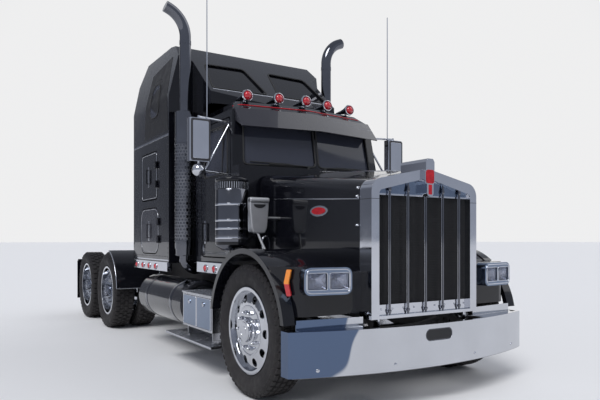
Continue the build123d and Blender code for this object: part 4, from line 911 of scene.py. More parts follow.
def lamp_lens(x):
    """Pillowed pane over the reflector."""
    bm = bmesh.new()
    count = (12, 9)
    grid = []
    for i in range(count[0] + 1):
        u = -1 + 2 * i / count[0]
        row = []
        for j in range(count[1] + 1):
            v = -1 + 2 * j / count[1]
            crown = 0.007 * (1 - u ** 4) * (1 - v ** 4)
            row.append(bm.verts.new((x + u * LENS_HALF[0], -0.036 - crown, v * LENS_HALF[1])))
        grid.append(row)
    for i in range(count[0]):
        for j in range(count[1]):
            bm.faces.new((grid[i][j], grid[i + 1][j], grid[i + 1][j + 1], grid[i][j + 1]))
    back = bmesh.ops.extrude_face_region(bm, geom=list(bm.faces), use_keep_orig=True)
    for vert in (v for v in back["geom"] if isinstance(v, bmesh.types.BMVert)):
        vert.co.y += 0.004
    bmesh.ops.recalc_face_normals(bm, faces=bm.faces)
    return smooth(mesh_from(bm), 50)


def make_headlamps():
    place = Matrix.Translation(at(*LAMP_CENTRE)) @ Matrix.Rotation(LAMP_YAW, 4, "Z")
    bulb = [turned([(-0.022, 0.0), (-0.020, 0.008), (-0.008, 0.011), (0.006, 0.009)], (x, 0, 0), "Y", 16)
            for x in LENS_PLACES]
    bowls = both_sides(moved(joined([lamp_bowl(x) for x in LENS_PLACES] + bulb), place))
    lenses = both_sides(moved(joined([lamp_lens(x) for x in LENS_PLACES]), place))
    add("lamp_reflectors", bowls, "lamp_bowl", "tilt_hood")
    stands_for(new_object("lamp_lenses", lenses, "lamp_glass"), "headlamp_glass")
    trims = []
    trims.append(tube([(u, -0.0505, v) for u, v in rounded_box((-0.176, -0.084), (0.176, 0.084), 0.045)],
                      0.0045, closed=True))
    for x in LENS_PLACES:
        half = (LENS_HALF[0] + 0.002, LENS_HALF[1] + 0.002)
        shape = rounded_box((x - half[0], -half[1]), (x + half[0], half[1]), 0.016)
        trims.append(tube([(u, -0.0495, v) for u, v in shape], 0.0035, closed=True))
    rims = both_sides(moved(joined(trims), place))
    add("lamp_rims", rims, "chrome", "tilt_hood")


# ---- roof lamps and marker lenses ----------------------------------------------
ROOF_LAMP_PLACES = (-0.632, -0.300, 0.0, 0.300, 0.632)
ROOF_LAMP_Z = 2.690
WINDSHIELD_SLOPE = 0.16
LENS_PROFILE = [(0.0, 0.0), (0.002, 0.016), (0.006, 0.028), (0.014, 0.036), (0.024, 0.041), (0.034, 0.042)]


def make_roof_lamps():
    """Five bullet housings with ribbed red domes."""
    housings, domes = [], []
    for x in ROOF_LAMP_PLACES:
        nose = at(x, 0.990 + WINDSHIELD_SLOPE * abs(x), ROOF_LAMP_Z)
        housings.append(turned([(0.006, 0.0), (0.004, 0.0430), (-0.008, 0.0460), (-0.013, 0.0500),
                                (-0.010, 0.0560), (0.003, 0.060), (0.010, 0.058), (0.013, 0.0545),
                                (0.035, 0.0490), (0.080, 0.0350), (0.135, 0.0250), (0.195, 0.0190),
                                (0.240, 0.0150), (0.256, 0.0090), (0.260, 0.0)], nose, "Y", 32))
        housings.append(turned([(-0.012, 0.030), (0.020, 0.014), (0.055, 0.012)],
                               nose + Vector((0, 0.070, -0.085)), "Z", 16))
        foot = box(nose + Vector((-0.016, 0.030, -0.135)), nose + Vector((0.016, 0.110, -0.078)))
        housings.append(softened(foot, 0.008))
        domes.append(turned([(along - 0.032, radius) for along, radius in LENS_PROFILE] + [(0.004, 0.0)],
                            nose, "Y", 32))
    stands_for(new_object("bullet_lamps", joined(housings), "chrome"), "roof_lamps")
    lenses, bezels = list(domes), []
    for sign in (1, -1):
        for x, z, stations in ((0.950, 0.955, (1.180, 1.400)),
                               (1.046, 0.930, (2.700, 2.950, 3.200, 3.450))):
            for station in stations:
                spot = at(sign * x, station, z)
                lens = [(0.0, 0.031), (0.010, 0.030), (0.018, 0.024), (0.022, 0.013), (0.0235, 0)]
                lenses.append(turned([(sign * a, r) for a, r in lens], spot, "X", 24))
                bezel = [(0.0, 0.040), (0.006, 0.039), (0.009, 0.034), (0.0, 0.031)]
                bezels.append(turned([(sign * a, r) for a, r in bezel], spot, "X", 24))
        for x in (0.250, 0.350):
            spot = at(sign * x, 6.626, 0.820)
            lenses.append(turned([(0.0, 0.048), (0.008, 0.047), (0.012, 0.040), (0.0135, 0.020),
                                  (0.0138, 0)], spot, "Y", 28))
            bezels.append(turned([(0.0, 0.058), (0.006, 0.057), (0.008, 0.050), (0.0, 0.048)], spot, "Y",
                                 28))
    stands_for(new_object("red_lamp_lenses", joined(lenses), "red_lens"), "marker_lenses")
    add("lamp_bezels", bezels, "chrome", "chassis")


# ---- exhaust stacks ------------------------------------------------------------
STACK = (0.940, 2.000)
SHIELD_R = 0.1125
SHIELD_SPAN = (1.235, 2.300)
TILE_COLUMNS = 20


def pierced_tile(size, hole, thickness):
    """Square of sheet with an eight-sided hole, lying in its own XY plane."""
    half = size / 2
    rim = [(half, 0), (half, half), (0, half), (-half, half), (-half, 0), (-half, -half), (0, -half),
           (half, -half)]
    ring = [(hole * math.cos(k * math.pi / 4), hole * math.sin(k * math.pi / 4)) for k in range(8)]
    bm = bmesh.new()
    levels = [([bm.verts.new((*p, z)) for p in rim], [bm.verts.new((*p, z)) for p in ring])
              for z in (0.0, -thickness)]
    (top_rim, top_ring), (low_rim, low_ring) = levels
    for k in range(8):
        n = (k + 1) % 8
        bm.faces.new((top_rim[k], top_rim[n], top_ring[n], top_ring[k]))
        bm.faces.new((low_rim[n], low_rim[k], low_ring[k], low_ring[n]))
        bm.faces.new((top_ring[k], top_ring[n], low_ring[n], low_ring[k]))
    return mesh_from(bm)


def make_stacks():
    """Pierced shields over the mufflers, their bands and the elbow clamps."""
    # the shield's own cylinder under the pierced sheet is coloured near-black: painted shade showing through
    # the holes
    def shade_behind_holes(bm):
        for face in bm.faces:
            centre = face.calc_center_median()
            spread = math.hypot(abs(centre.x) - STACK[0], centre.y - FRONT_AXLE - STACK[1])
            face.material_index = 1 if spread < 0.115 and 1.16 < centre.z < 2.64 and spread > 0.09 else 0

    dress("exhaust_stacks", "smoked_chrome", 0.002, name="stack_pipes", change=shade_behind_holes)
    bpy.data.objects["stack_pipes"].data.materials.append(material("screen_black"))

    pitch = 2 * math.pi * SHIELD_R / TILE_COLUMNS
    rows = int((SHIELD_SPAN[1] - SHIELD_SPAN[0]) / pitch)
    tile = pierced_tile(pitch * 1.004, pitch * 0.36, 0.0012)
    for side, sign in SIDES:
        paths = [ring_path(at(sign * STACK[0], STACK[1], SHIELD_SPAN[0] + pitch * (k + 0.5)), SHIELD_R, "Z",
                           segments=TILE_COLUMNS, start=(k % 2) * math.pi / TILE_COLUMNS)
                 for k in range(rows)]
        shield = repeated(paths, tile, "smoked_sheet", Count=TILE_COLUMNS)
        top = SHIELD_SPAN[0] + pitch * rows
        centre = at(sign * STACK[0], STACK[1], 0)
        bands = [turned([(z - h, 0.1100), (z - h, 0.1150), (z - h * 0.7, 0.1175), (z + h * 0.7, 0.1175),
                         (z + h, 0.1150), (z + h, 0.1100)], centre, "Z", 48)
                 for z, h in ((SHIELD_SPAN[0], 0.010), (top, 0.010), (top + 0.012, 0.004))]
        bands += [turned([(1.150, 0.1100), (1.150, 0.1122), (SHIELD_SPAN[0], 0.1122)], centre, "Z", 48),
                  turned([(top, 0.1122), (2.648, 0.1122), (2.652, 0.1080), (2.655, 0.064)], centre, "Z",
                         48), turned([(1.068, 0.0630), (1.070, 0.0980), (1.080, 0.1060), (1.092, 0.1065)],
                                     centre, "Z", 48),
                  turned([(2.340, 0.1125), (2.340, 0.1170), (2.362, 0.1170), (2.362, 0.1125)], centre, "Z",
                         48)]
        for z in (1.020, 2.780, 3.420):
            bands.append(turned([(z - 0.020, 0.0622), (z - 0.020, 0.0650), (z + 0.020, 0.0650),
                                 (z + 0.020, 0.0622)], centre, "Z", 40))
        clamp = at(sign * 0.640, STACK[1], 0.925)
        bands.append(turned([(-0.022, 0.0622), (-0.022, 0.0660), (0.022, 0.0660), (0.022, 0.0622)], clamp,
                            "X", 40))
        made = new_object(f"pierced_shield_{side}", shield, "smoked_sheet")
        fitted(made, "chassis")
        add(f"stack_bands_{side}", bands, "smoked_chrome", "chassis")


# ---- air cleaners --------------------------------------------------------------
CLEANER = (1.005, 0.665)
CLEANER_BANDS = (1.262, 1.345, 1.418, 1.560)


def make_air_cleaners():
    """Canister with a dark domed lid, a louvred collar and four clamp bands."""
    bodies, lids, slots, bands = [], [], [], []
    for sign in (1, -1):
        centre = at(sign * CLEANER[0], CLEANER[1], 0)
        bodies.append(turned([(1.150, 0), (1.150, 0.086), (1.158, 0.095), (1.186, 0.140), (1.196, 0.1470),
                              (1.205, 0.1480), (1.690, 0.1480), (1.700, 0.1420), (1.700, 0)], centre, "Z",
                             64))
        for z in (1.290, 1.640):
            foot = corners(sign, (0.820, 0.945), (0.705, 0.7695), (z - 0.025, z + 0.025))
            bodies.append(softened(box(*foot), 0.003))
        lids.append(turned([(1.690, 0), (1.690, 0.1400), (1.768, 0.1400), (1.768, 0.1480), (1.776, 0.1500),
                            (1.790, 0.1500), (1.797, 0.1460), (1.812, 0.1150), (1.822, 0.060), (1.825, 0)],
                           centre, "Z", 64))
        lids.append(turned([(1.200, 0.1482), (1.200, 0.1496), (1.228, 0.1496), (1.228, 0.1482)], centre,
                           "Z", 64))
        louvre = box((-0.0032, -0.0290, -0.001), (0.0032, 0.0290, 0.0085))
        louvre.transform(Matrix.Rotation(math.pi / 2, 4, "Z"))
        slots.append(repeated([ring_path(centre + Vector((0, 0, 1.732)), 0.1405, "Z", segments=96)],
                              louvre, "stainless", Count=44))
        for z in CLEANER_BANDS:
            bands.append(turned([(z - 0.009, 0.1478), (z - 0.009, 0.1490), (z - 0.006, 0.1500),
                                 (z + 0.006, 0.1500), (z + 0.009, 0.1490), (z + 0.009, 0.1478)], centre,
                                "Z", 64))
            buckle = box(centre + Vector((-0.012, -0.1560, z - 0.011)), centre
                         + Vector((0.012, -0.1480, z + 0.011)))
            bands.append(softened(buckle, 0.002))
    stands_for(new_object("air_canisters", joined(bodies), "smoked_chrome"), "air_cleaners")
    add("air_canister_lids", lids, "black_enamel", "chassis")
    add("air_canister_louvres", slots, "stainless", "chassis")
    add("air_canister_bands", bands, "chrome", "chassis")


# ---- fuel tanks ----------------------------------------------------------------
TANK = (0.900, 0.572)
TANK_SPAN = (1.575, 3.050)
TANK_R = 0.250
STRAP_STATIONS = (1.895, 2.730)


def make_tanks():
    """Tanks with rolled ends, straps, filler caps and their frame brackets."""
    tanks, trims = [], []
    first, last = (FRONT_AXLE + s for s in TANK_SPAN)
    for sign in (1, -1):
        centre = Vector((sign * TANK[0], 0, TANK[1]))
        tanks.append(turned([(first + 0.012, 0), (first + 0.010, 0.190), (first + 0.002, 0.200),
                             (first, 0.222), (first + 0.006, 0.240), (first + 0.020, TANK_R),
                             (last - 0.020, TANK_R), (last - 0.006, 0.240), (last, 0.222),
                             (last - 0.002, 0.200), (last - 0.010, 0.190), (last - 0.012, 0)], centre, "Y",
                            72))
        for station in STRAP_STATIONS:
            bracket = corners(sign, (0.430, 0.780), (station - 0.035, station + 0.035),
                              (TANK[1] - 0.060, 0.750))
            tanks.append(softened(box(*bracket), 0.004))
            y = FRONT_AXLE + station
            trims.append(turned([(y - 0.034, 0.2495), (y - 0.034, 0.2525), (y - 0.028, 0.2545),
                                 (y - 0.004, 0.2535), (y + 0.004, 0.2535), (y + 0.028, 0.2545),
                                 (y + 0.034, 0.2525), (y + 0.034, 0.2495)], centre, "Y", 72))
        cap = turned([(0.236, 0.048), (0.262, 0.048), (0.264, 0.056), (0.286, 0.056), (0.290, 0.050),
                      (0.290, 0)], axis="Z", segments=28)
        lean = Matrix.Translation(Vector((sign * TANK[0], FRONT_AXLE + 1.730, TANK[1]))) @ Matrix.Rotation(
            sign * math.radians(38), 4, "Y")
        trims.append(moved(cap, lean))
    stands_for(new_object("tanks", joined(tanks), "tank_enamel"), "fuel_tanks")
    add("tank_trims", trims, "smoked_chrome", "chassis")


# ---- steps, tread plates and side panels ---------------------------------------
def tread_head(length=0.016, width=0.0052, height=0.0016):
    """One raised bar of a tread plate, turned across the row."""
    bm = bmesh.new()
    low = [bm.verts.new((x, y, -0.0004)) for x, y in ((length, 0), (0, width), (-length, 0), (0, -width))]
    high = [bm.verts.new((x * 0.6, y * 0.5, height)) for x,
            y in ((length, 0), (0, width), (-length, 0), (0, -width))]
    for k in range(4):
        bm.faces.new((low[k], low[(k + 1) % 4], high[(k + 1) % 4], high[k]))
    bm.faces.new(high)
    return mesh_from(bm)


def tread_area(x, y, z, pitch=0.036):
    """Raised bars over a level rectangle, turned one way and the other in alternate rows."""
    meshes = []
    rows = max(2, int((y[1] - y[0]) / (pitch / 2)))
    for parity, turn in ((0, 1), (1, -1)):
        paths = []
        for k in range(parity, rows, 2):
            station = y[0] + (k + 0.5) * (y[1] - y[0]) / rows
            shift = parity * pitch / 2
            paths.append(([Vector((x[0] + pitch / 2 + shift, station, z)),
                           Vector((x[1] - pitch + shift, station, z))], Vector((0, 0, 1)), False))
        head = tread_head()
        head.transform(Matrix.Rotation(turn * math.pi / 4, 4, "Z"))
        meshes.append(repeated(paths, head, "stainless", Spacing=pitch))
    return joined(meshes)


def make_steps():
    """Tread bars on the steps and catwalk, the polished box doors and their frames."""
    treads, doors, frames = [], [], []
    for sign in (1, -1):
        for (x0, x1), (s0, s1), z in (((0.655, 1.155), (0.785, 1.500), 0.735),
                                      ((0.775, 1.195), (0.695, 1.860), 0.290)):
            xs = sorted((sign * x0, sign * x1))
            treads.append(tread_area(xs, (FRONT_AXLE + s0, FRONT_AXLE + s1), z))
        face = sign * 1.150
        for (s0, s1) in ((0.800, 1.130), (1.150, 1.482)):
            shape = rounded_box((s0, 0.412), (s1, 0.700), 0.020)
            doors.append(slab([at(face, s, z) for s, z in shape], (sign, 0, 0), 0.005, 0.0015))
            frames.append(tube([at(face + sign * 0.004, s, z) for s, z in shape], 0.005, closed=True))
            latch = turned([(0.0, 0.022), (0.008, 0.022), (0.011, 0.017), (0.011, 0)], axis="Z",
                           segments=20)
            latch.transform(Matrix.Translation(at(face + sign * 0.005, (s0 + s1) / 2, 0.640))
                            @ Matrix.Rotation(sign * math.pi / 2, 4, "Y"))
            frames.append(latch)
        for z in (0.268, 0.284):
            frames.append(tube([at(sign * 1.2052, 0.690, z), at(sign * 1.2052, 1.860, z)], 0.0035))
        frames.append(slab([at(sign * 1.2030, s, z) for s,
                            z in ((0.690, 0.271), (1.860, 0.271), (1.860, 0.281), (0.690, 0.281))],
                           (sign, 0, 0), 0.003))
    deck = tread_area((-0.42, 0.42), (FRONT_AXLE + 3.740, FRONT_AXLE + 4.310), 0.958, 0.05)
    add("step_treads", treads, "stainless", "chassis")
    add("deck_tread", deck, "stainless", "chassis")
    add("box_doors", doors, "blued_steel", "chassis")
    add("box_frames", frames, "chrome", "chassis")


GUARD_R = 0.594
GUARD_SIDES = (0.594, 1.206)
GUARD_TURNS = (0.103, 1.280)   # where the arc starts and ends, in radians


def make_guard_edging():
    """Bright rolled edges on the half-round guards over the front drive tyres."""
    edges = []
    hub = at(0, DRIVE_STATIONS[0], AXLE_HEIGHT)
    arc = [hub + Vector((0, -GUARD_R * math.cos(turn), GUARD_R * math.sin(turn)))
           for turn in spaced(*GUARD_TURNS, 25)]
    for sign in (1, -1):
        for x in GUARD_SIDES:
            edges.append(tube([p + Vector((sign * x, 0, 0)) for p in arc], 0.006))
        for end in (arc[0], arc[-1]):
            edges.append(tube([end + Vector((sign * x, 0, 0)) for x in GUARD_SIDES], 0.006))
    add("guard_edging", edges, "chrome", "chassis")


# ---- bumper --------------------------------------------------------------------
BUMPER_LOW = 0.281


def make_bumper_trim():
    """Bright rim round the tow slot, a near-black plate in the slot as painted shade, bolt heads and the
    folded lower edge.
    """
    skin = Skin("bumper")
    shape = []
    for k in range(24):
        turn = 2 * math.pi * k / 24
        side = 0.094 * (1 if math.cos(turn) > 0 else -1)
        shape.append((side + 0.048 * math.cos(turn), 0.522 + 0.048 * math.sin(turn)))
    rim = tube([at(x * 0.968, 0.10 * x * x - 0.9152, 0.522 + (z - 0.522) * 0.91) for x, z in shape], 0.0045,
               closed=True)
    # near-black plate flush in the tow slot: painted shade in the opening
    slot_shade = slab([at(x * 0.985, 0.10 * x * x - 0.9180, 0.522 + (z - 0.522) * 0.985) for x, z in shape],
                  (0, 1, 0), 0.006)
    add("tow_slot_cover", slot_shade, "screen_black", "chassis")
    bolts = []
    for x in (-1.02, -0.42, 0.42, 1.02):
        place, normal = skin.hit(at(x, -2.0, 0.33), (0, 1, 0))
        bolts.append(([place, place + Vector((0.001, 0, 0))], normal, False))
    heads = repeated(bolts, dome_head(0.013, 0.006, 12), "chrome", Count=2)
    add("bumper_bolts", heads, "chrome", "chassis")
    fold = []
    for x in spaced(-1.195, 1.195, 25):
        place, normal = skin.hit(at(x, -2.0, BUMPER_LOW + 0.020), BACKWARD)
        fold.append(Vector((place.x, place.y, BUMPER_LOW)) - normal * 0.0048)
    fold = tube(fold, 0.0045)
    add("bumper_slot_rim", joined([rim, fold]), "smoked_chrome", "chassis")


# ---- cab glass -----------------------------------------------------------------
def window_loop(skin, points, way, radius):
    """Gasket that follows a window's outline along the skin, sunk a millimetre into it."""
    way = Vector(way)
    path = [skin.hit(point - way * FAR, way)[0] + way * 0.001 for point in points]
    return tube(path, radius, closed=True)


def make_cab_trim():
    """Window gaskets, wipers, vent bars, drip rails and door trims."""
    cab = Skin("cab_shell", "windows")
    gaskets, blades = [], []
    for side, sign in SIDES:
        low, high = 1.984, 2.450
        shape = [(0.016, low - 0.010), (0.770, low - 0.010), (0.738, high + 0.010), (0.016, high + 0.010)]
        points = [at(sign * x, 0, z) for x, z in round_outline(shape, 0.046, 4)]
        gaskets.append(window_loop(cab, points, BACKWARD, 0.009))
        door = Skin(f"door_{side}")
        shape = [(1.022, 1.890), (1.613, 1.890), (1.613, 2.380), (1.092, 2.380)]
        points = [at(0, s, z) for s, z in round_outline(shape, 0.036, 4)]
        ring = window_loop(door, points, (-sign, 0, 0), 0.008)
        bar = tube([at(sign * 0.862, 1.190, 1.902), at(sign * 0.847, 1.190, 2.368)], 0.007)
        add(f"door_gasket_{side}", [ring, bar], "flap_rubber", f"cab_door_{side}")
        lines = []
        for grow in (0.030, 0.046):
            shape = [(0.965 + grow, 1.860), (0.965 + grow, 1.075 + grow), (1.670 - grow, 1.075 + grow),
                     (1.670 - grow, 1.860)]
            bend = round_outline(shape, 0.070, 5)[6:-6]
            path = [door.hit(at(sign * FAR, s, z), (-sign, 0, 0))[0] for s, z in bend]
            lines.append(tube([p + Vector((sign * 0.0005, 0, 0)) for p in path], 0.0022, sides=6))
        add(f"door_bead_{side}", lines, "chrome", f"cab_door_{side}")
        # wiper arm and blade, parked along the foot of the glass
        foot, tip, a, b = (cab.hit(at(sign * x, -2, z), BACKWARD)[0]
                           for x, z in ((0.10, 1.968), (0.52, 1.976), (0.28, 1.990), (0.70, 1.998)))
        lift = Vector((0, -0.016, 0.010))
        blades.append(tube([foot, foot + lift, (foot + tip) / 2 + lift * 1.2, tip + lift], 0.006,
                           curved=True))
        blades.append(tube([a + lift * 0.6, b + lift * 0.6], 0.005))
        blades.append(turned([(-0.020, 0.018), (0.004, 0.018), (0.008, 0.012), (0.008, 0)], foot, "Z", 16))
        grip = box(*corners(sign, (0.8805, 0.8860), (1.560, 1.600), (1.205, 1.445)))
        add(f"door_handle_plate_{side}", softened(grip, 0.002), "chrome", f"cab_door_{side}")
    add("windshield_gaskets", gaskets, "flap_rubber", "chassis")
    add("wipers", blades, "flap_rubber", "chassis")
    strip = []
    roof = Skin("cab_shell", "visor")
    for x in spaced(-0.800, 0.800, 21):
        place, _ = roof.hit(at(x, 0.955 + WINDSHIELD_SLOPE * abs(x), 4.0), DOWN)
        strip.append(place + UP * 0.002)
    add("roof_edge_strip", tube(strip, 0.006), "red_enamel", "chassis")


# ---- sleeper -------------------------------------------------------------------
RIVET_HEIGHTS = [1.040 + k * 0.100 for k in range(14)]
BEHIND = 9.0                  # station where a ray at the rear wall starts


def make_sleeper_trim():
    """Belt mouldings, dark quarter panels, rivets, window rims and crease lines."""
    skin = Skin("sleeper_shell", "windows", "vent_door_left", "vent_door_right", "luggage_door_left",
                "luggage_door_right")
    belts, panels, windows, rims, creases = [], [], [], [], []
    dots, seams, lamps, lenses = [], [], [], []
    for sign in (1, -1):
        way = (-sign, 0, 0)
        belts.append(softened(box(*corners(sign, (1.0285, 1.0345), (2.292, 3.655), (2.440, 2.462))), 0.002))
        belts.append(softened(box(*corners(sign, (1.0285, 1.0330), (2.292, 3.655), (1.005, 1.020))), 0.002))
        quarter = [at(0, s, z) for s, z in ((2.300, 2.500), (3.180, 2.500), (3.080, 3.300), (2.420, 3.380))]
        panels.append(patch(skin, quarter, way, 0.0035, 0.006, (14, 14), 0.002))
        oval = round_outline([(2.620, 2.720), (2.960, 2.720), (2.930, 3.120), (2.660, 3.130)], 0.130, 6)
        pane, rim = [], []
        for s, z in oval:
            place, _ = skin.hit(at(sign * FAR, s, z), way)
            pane.append(place + Vector((sign * 0.0050, 0, 0)))
            rim.append(place + Vector((sign * 0.0065, 0, 0)))
        windows.append(slab(pane, (sign, 0, 0), 0.002, 0.0))
        rims.append(tube(rim, 0.008, closed=True))
        around = round_outline([(2.565, 2.665), (3.015, 2.665), (2.985, 3.175), (2.605, 3.185)], 0.150)
        dots.append(skin.row([at(sign * FAR, s, z) for s, z in around], way, (sign * 0.0035, 0, 0), True))
        for station in (2.312, 3.640):
            dots.append(skin.row([at(sign * FAR, station, z) for z in RIVET_HEIGHTS], way))
        dots.append(skin.row([at(sign * FAR, 3.600, z) for z in spaced(2.520, 2.880, 7)], way))
        dots.append(skin.row([at(sign * FAR, station, 1.055) for station in spaced(2.330, 3.620, 17)], way))
        for x in (0.345, 0.985):
            dots.append(skin.row([at(sign * x, BEHIND, z) for z in RIVET_HEIGHTS], FORWARD))
            seams.append(box(*corners(sign, (x - 0.032, x - 0.028), (3.6695, 3.6712), (1.010, 2.425))))
        dots.append(skin.row([at(sign * (0.02 + k * 0.08), BEHIND, 1.035) for k in range(12)], FORWARD))
        lamp = at(sign * 0.700, 3.670, 2.300)
        lamps.append(turned([(0.0, 0.052), (0.012, 0.060), (0.030, 0.062), (0.038, 0.058), (0.040, 0.052)],
                            lamp, "Y", 32))
        lenses.append(turned([(0.036, 0.052), (0.042, 0.036), (0.045, 0.0)], lamp, "Y", 32))
        bar = [at(sign * 0.480, 3.670, 1.150), at(sign * 0.480, 3.705, 1.150),
               at(sign * 0.480, 3.705, 1.850), at(sign * 0.480, 3.670, 1.850)]
        lamps.append(tube(bar, 0.012, sides=12))
        # crease over the cab roof under the skylights
        line = [skin.hit(at(sign * (0.02 + 0.74 * k / 12), -1.0, 2.868), BACKWARD)[0] for k in range(13)]
        creases.append(tube(line, 0.006))
        shape = [(0.070, 2.895), (0.750, 2.885), (0.668, 3.260), (0.162, 3.275)]
        points = [at(sign * x, 0, z) for x, z in round_outline(shape, 0.045, 4)]
        rims.append(window_loop(skin, points, BACKWARD, 0.009))
    belts.append(softened(box(at(-1.000, 3.6690, 2.440), at(1.000, 3.6740, 2.462)), 0.002))
    add("rear_wall_seams", seams, "screen_black", "chassis")
    add("rear_wall_lamps", lamps, "chrome", "chassis")
    add("rear_wall_lenses", lenses, "lamp_glass", "chassis")
    add("sleeper_belts", belts, "chrome", "chassis")
    add("quarter_panels", panels, "screen_black", "chassis")
    add("quarter_windows", windows, "side_glass", "chassis")
    add("window_rims", rims, "flap_rubber", "chassis")
    add("roof_crease", creases, "chrome", "chassis")
    heads = repeated(dots, dome_head(0.0062, 0.0035), "black_enamel", Spacing=0.055)
    add("sleeper_rivets", heads, "black_enamel", "chassis")
    for side, sign in SIDES:
        for name, (s0, s1, z0, z1), radius in (("vent_door", (2.700, 3.300, 1.740, 2.310), 0.045),
                                               ("luggage_door", (2.640, 3.340, 1.085, 1.630), 0.150)):
            shape = rounded_box((s0 + 0.014, z0 + 0.014), (s1 - 0.014, z1 - 0.014), radius)
            bead = tube([at(sign * 1.0302, s, z) for s, z in shape], 0.0032, closed=True)
            middle, height = (s0 + s1) / 2 + 0.020, (z0 + z1) / 2
            plate = softened(box(*corners(sign, (1.0302, 1.0350), (middle - 0.022, middle + 0.022),
                                          (height - 0.125, height + 0.125))), 0.002)
            add(f"{name}_trim_{side}", joined([bead, plate]), "stainless", f"{name}_panel_{side}")


# ---- mirrors -------------------------------------------------------------------
def make_mirrors():
    """Bevelled plates and glasses on the tall mirrors and on the hood mirrors, with painted shade under the
    hood mirrors' rolled tops.
    """
    for side, sign in SIDES:
        body = f"cab_door_{side}"
        frames, plates, panes = [], [], []
        x0, x1 = sorted((sign * 1.100, sign * 1.275))
        mid = (x0 + x1) / 2
        raised = rounded_box((x0 + 0.008, 2.000), (x1 - 0.008, 2.356), 0.018, 4)
        plates.append(slab([at(x, 0.951, z) for x, z in raised], (0, -1, 0), 0.010, 0.0075, 2))
        dark = rounded_box((x0 - 0.010, 1.982), (x1 + 0.010, 2.374), 0.024, 4)
        frames.append(slab([at(x, 0.9495, z) for x, z in dark], (0, -1, 0), 0.0035, 0.0015))
        panes.append(slab([at(x, 1.0505, z) for x, z in raised], (0, 1, 0), 0.0020, 0.001))
        frames.append(tube([at(x, 1.0510, z) for x, z in raised], 0.0045, closed=True))
        ball = at(mid, 1.000, 1.900)
        frames.append(turned([(0.050, 0.0), (0.050, 0.0365), (0.044, 0.0445), (0.036, 0.0515)], ball, "Y",
                             32))
        add(f"mirror_plate_{side}", plates, "chrome", body)
        add(f"mirror_frame_{side}", frames, "moulded_trim", body)
        add(f"mirror_glass_{side}", panes, "reflector", body)
    hood_plates, hood_panes, shade_crescents = [], [], []
    for sign in (1, -1):
        x0, x1 = sorted((sign * 0.785, sign * 0.955))
        shape = rounded_box((x0, 1.312), (x1, 1.608), 0.022, 4)
        hood_panes.append(slab([at(x, 0.4355, z) for x, z in shape], (0, 1, 0), 0.0020, 0.001))
        mid = (x0 + x1) / 2
        head = [(mid - 0.052, 1.302), (mid + 0.052, 1.302), (mid + 0.076, 1.345), (mid + 0.094, 1.530),
                (mid + 0.094, 1.618), (mid - 0.094, 1.618), (mid - 0.094, 1.530), (mid - 0.076, 1.345)]
        shape = round_outline(head, 0.018, 4)
        hood_plates.append(slab([at(x, 0.4340, z) for x, z in shape], (0, -1, 0), 0.056, 0.010, 3))
        hood_plates.append(turned([(-0.094, 0.0), (-0.094, 0.020), (-0.088, 0.026), (0.088, 0.026),
                                   (0.094, 0.020), (0.094, 0.0)], at(mid, 0.391, 1.592), "X", 24))
        hood_plates.append(tube([at(sign * 0.640, 0.410, 1.440), at(sign * 0.800, 0.402, 1.440)], 0.011,
                                sides=12))
        hood_plates.append(tube([at(sign * 0.880, 0.400, 1.310), at(sign * 0.862, 0.370, 1.235),
                                 at(sign * 0.820, 0.300, 1.085)], 0.011, sides=12))
        # a near-black crescent under each head's rolled top is painted shade
        brow = [(mid + 0.058 * math.cos(turn), 1.556 + 0.034 * math.sin(turn))
                for turn in (math.pi + k * math.pi / 14 for k in range(15))]
        shade_crescents.append(slab([at(x, 0.3778, z) for x, z in brow], (0, -1, 0), 0.004, 0.001))
    stands_for(new_object("hood_mirror_heads", joined(hood_plates), "satin_metal"), "hood_mirrors")
    add("hood_mirror_brows", shade_crescents, "screen_black", "tilt_hood")
    add("hood_mirror_glass", hood_panes, "reflector", "tilt_hood")


# ---- seats and bunk ------------------------------------------------------------
def cushion(low, high, swell, cap):
    """Crowned pad blown up a little inside a block, its sides drawn in between the corners."""
    low, high = Vector(low), Vector(high)
    inner_low, inner_high = low + Vector((cap,) * 3), high - Vector((cap,) * 3)
    bm = bmesh.new()
    bmesh.ops.create_cube(bm, size=1.0)
    for vert in bm.verts:
        vert.co = Vector((inner_low[i] + (vert.co[i] + 0.5) * (inner_high[i] - inner_low[i])
                          for i in range(3)))
    bmesh.ops.bevel(bm, geom=list(bm.edges), offset=0.022, segments=3, affect="EDGES")
    voxel = max(max(high - low) / 46, 0.010)
    mesh = baked(in_scene("pad", mesh_from(bm)), [("REMESH", dict(mode="VOXEL", voxel_size=voxel))])
    rest = [vert.co.copy() for vert in mesh.vertices]
    held = in_scene("pad", mesh)
    cloth = held.modifiers.new("cloth", "CLOTH")
    cloth.settings.use_pressure = True
    cloth.settings.uniform_pressure_force = swell
    cloth.settings.effector_weights.gravity = 0
    cloth.settings.quality = 4
    for step in range(1, 21):
        bpy.context.scene.frame_set(step)
    graph = bpy.context.evaluated_depsgraph_get()
    blown = bpy.data.meshes.new_from_object(held.evaluated_get(graph))
    bpy.data.objects.remove(held)
    bpy.context.scene.frame_set(1)
    for vert, start in zip(blown.vertices, rest):
        push = vert.co - start
        if push.length > cap:
            vert.co = start + push.normalized() * cap
    mesh = blown
    return smooth(baked(in_scene("pad", mesh), [("SUBSURF", dict(levels=1, render_levels=1))]), 60)


def make_seats():
    """Driver's and passenger's seats and the bunk mattress."""
    y = FRONT_AXLE
    seat = cushion((0.330, y + 1.180, 1.330), (0.830, y + 1.640, 1.440), 4.0, 0.012)
    back = cushion((0.330, y + 1.6405, 1.445), (0.830, y + 1.760, 2.050), 4.0, 0.012)
    bunk = cushion((-0.940, y + 2.900, 1.330), (0.940, y + 3.600, 1.500), 3.0, 0.016)
    pads = [("mattress", bunk, "bunk_cloth")]
    for side, sign in SIDES:
        for name, mesh in (("seat_cushion", seat), ("seat_back", back)):
            pads.append((f"{name}_{side}", moved(mesh, flipped(sign)), "seat_cloth"))
    for k, (name, mesh, finish) in enumerate(pads):
        made = new_object(name, mesh, finish)
        if k == 0:
            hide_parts("seats_and_bunk")
        fitted(made, "chassis")


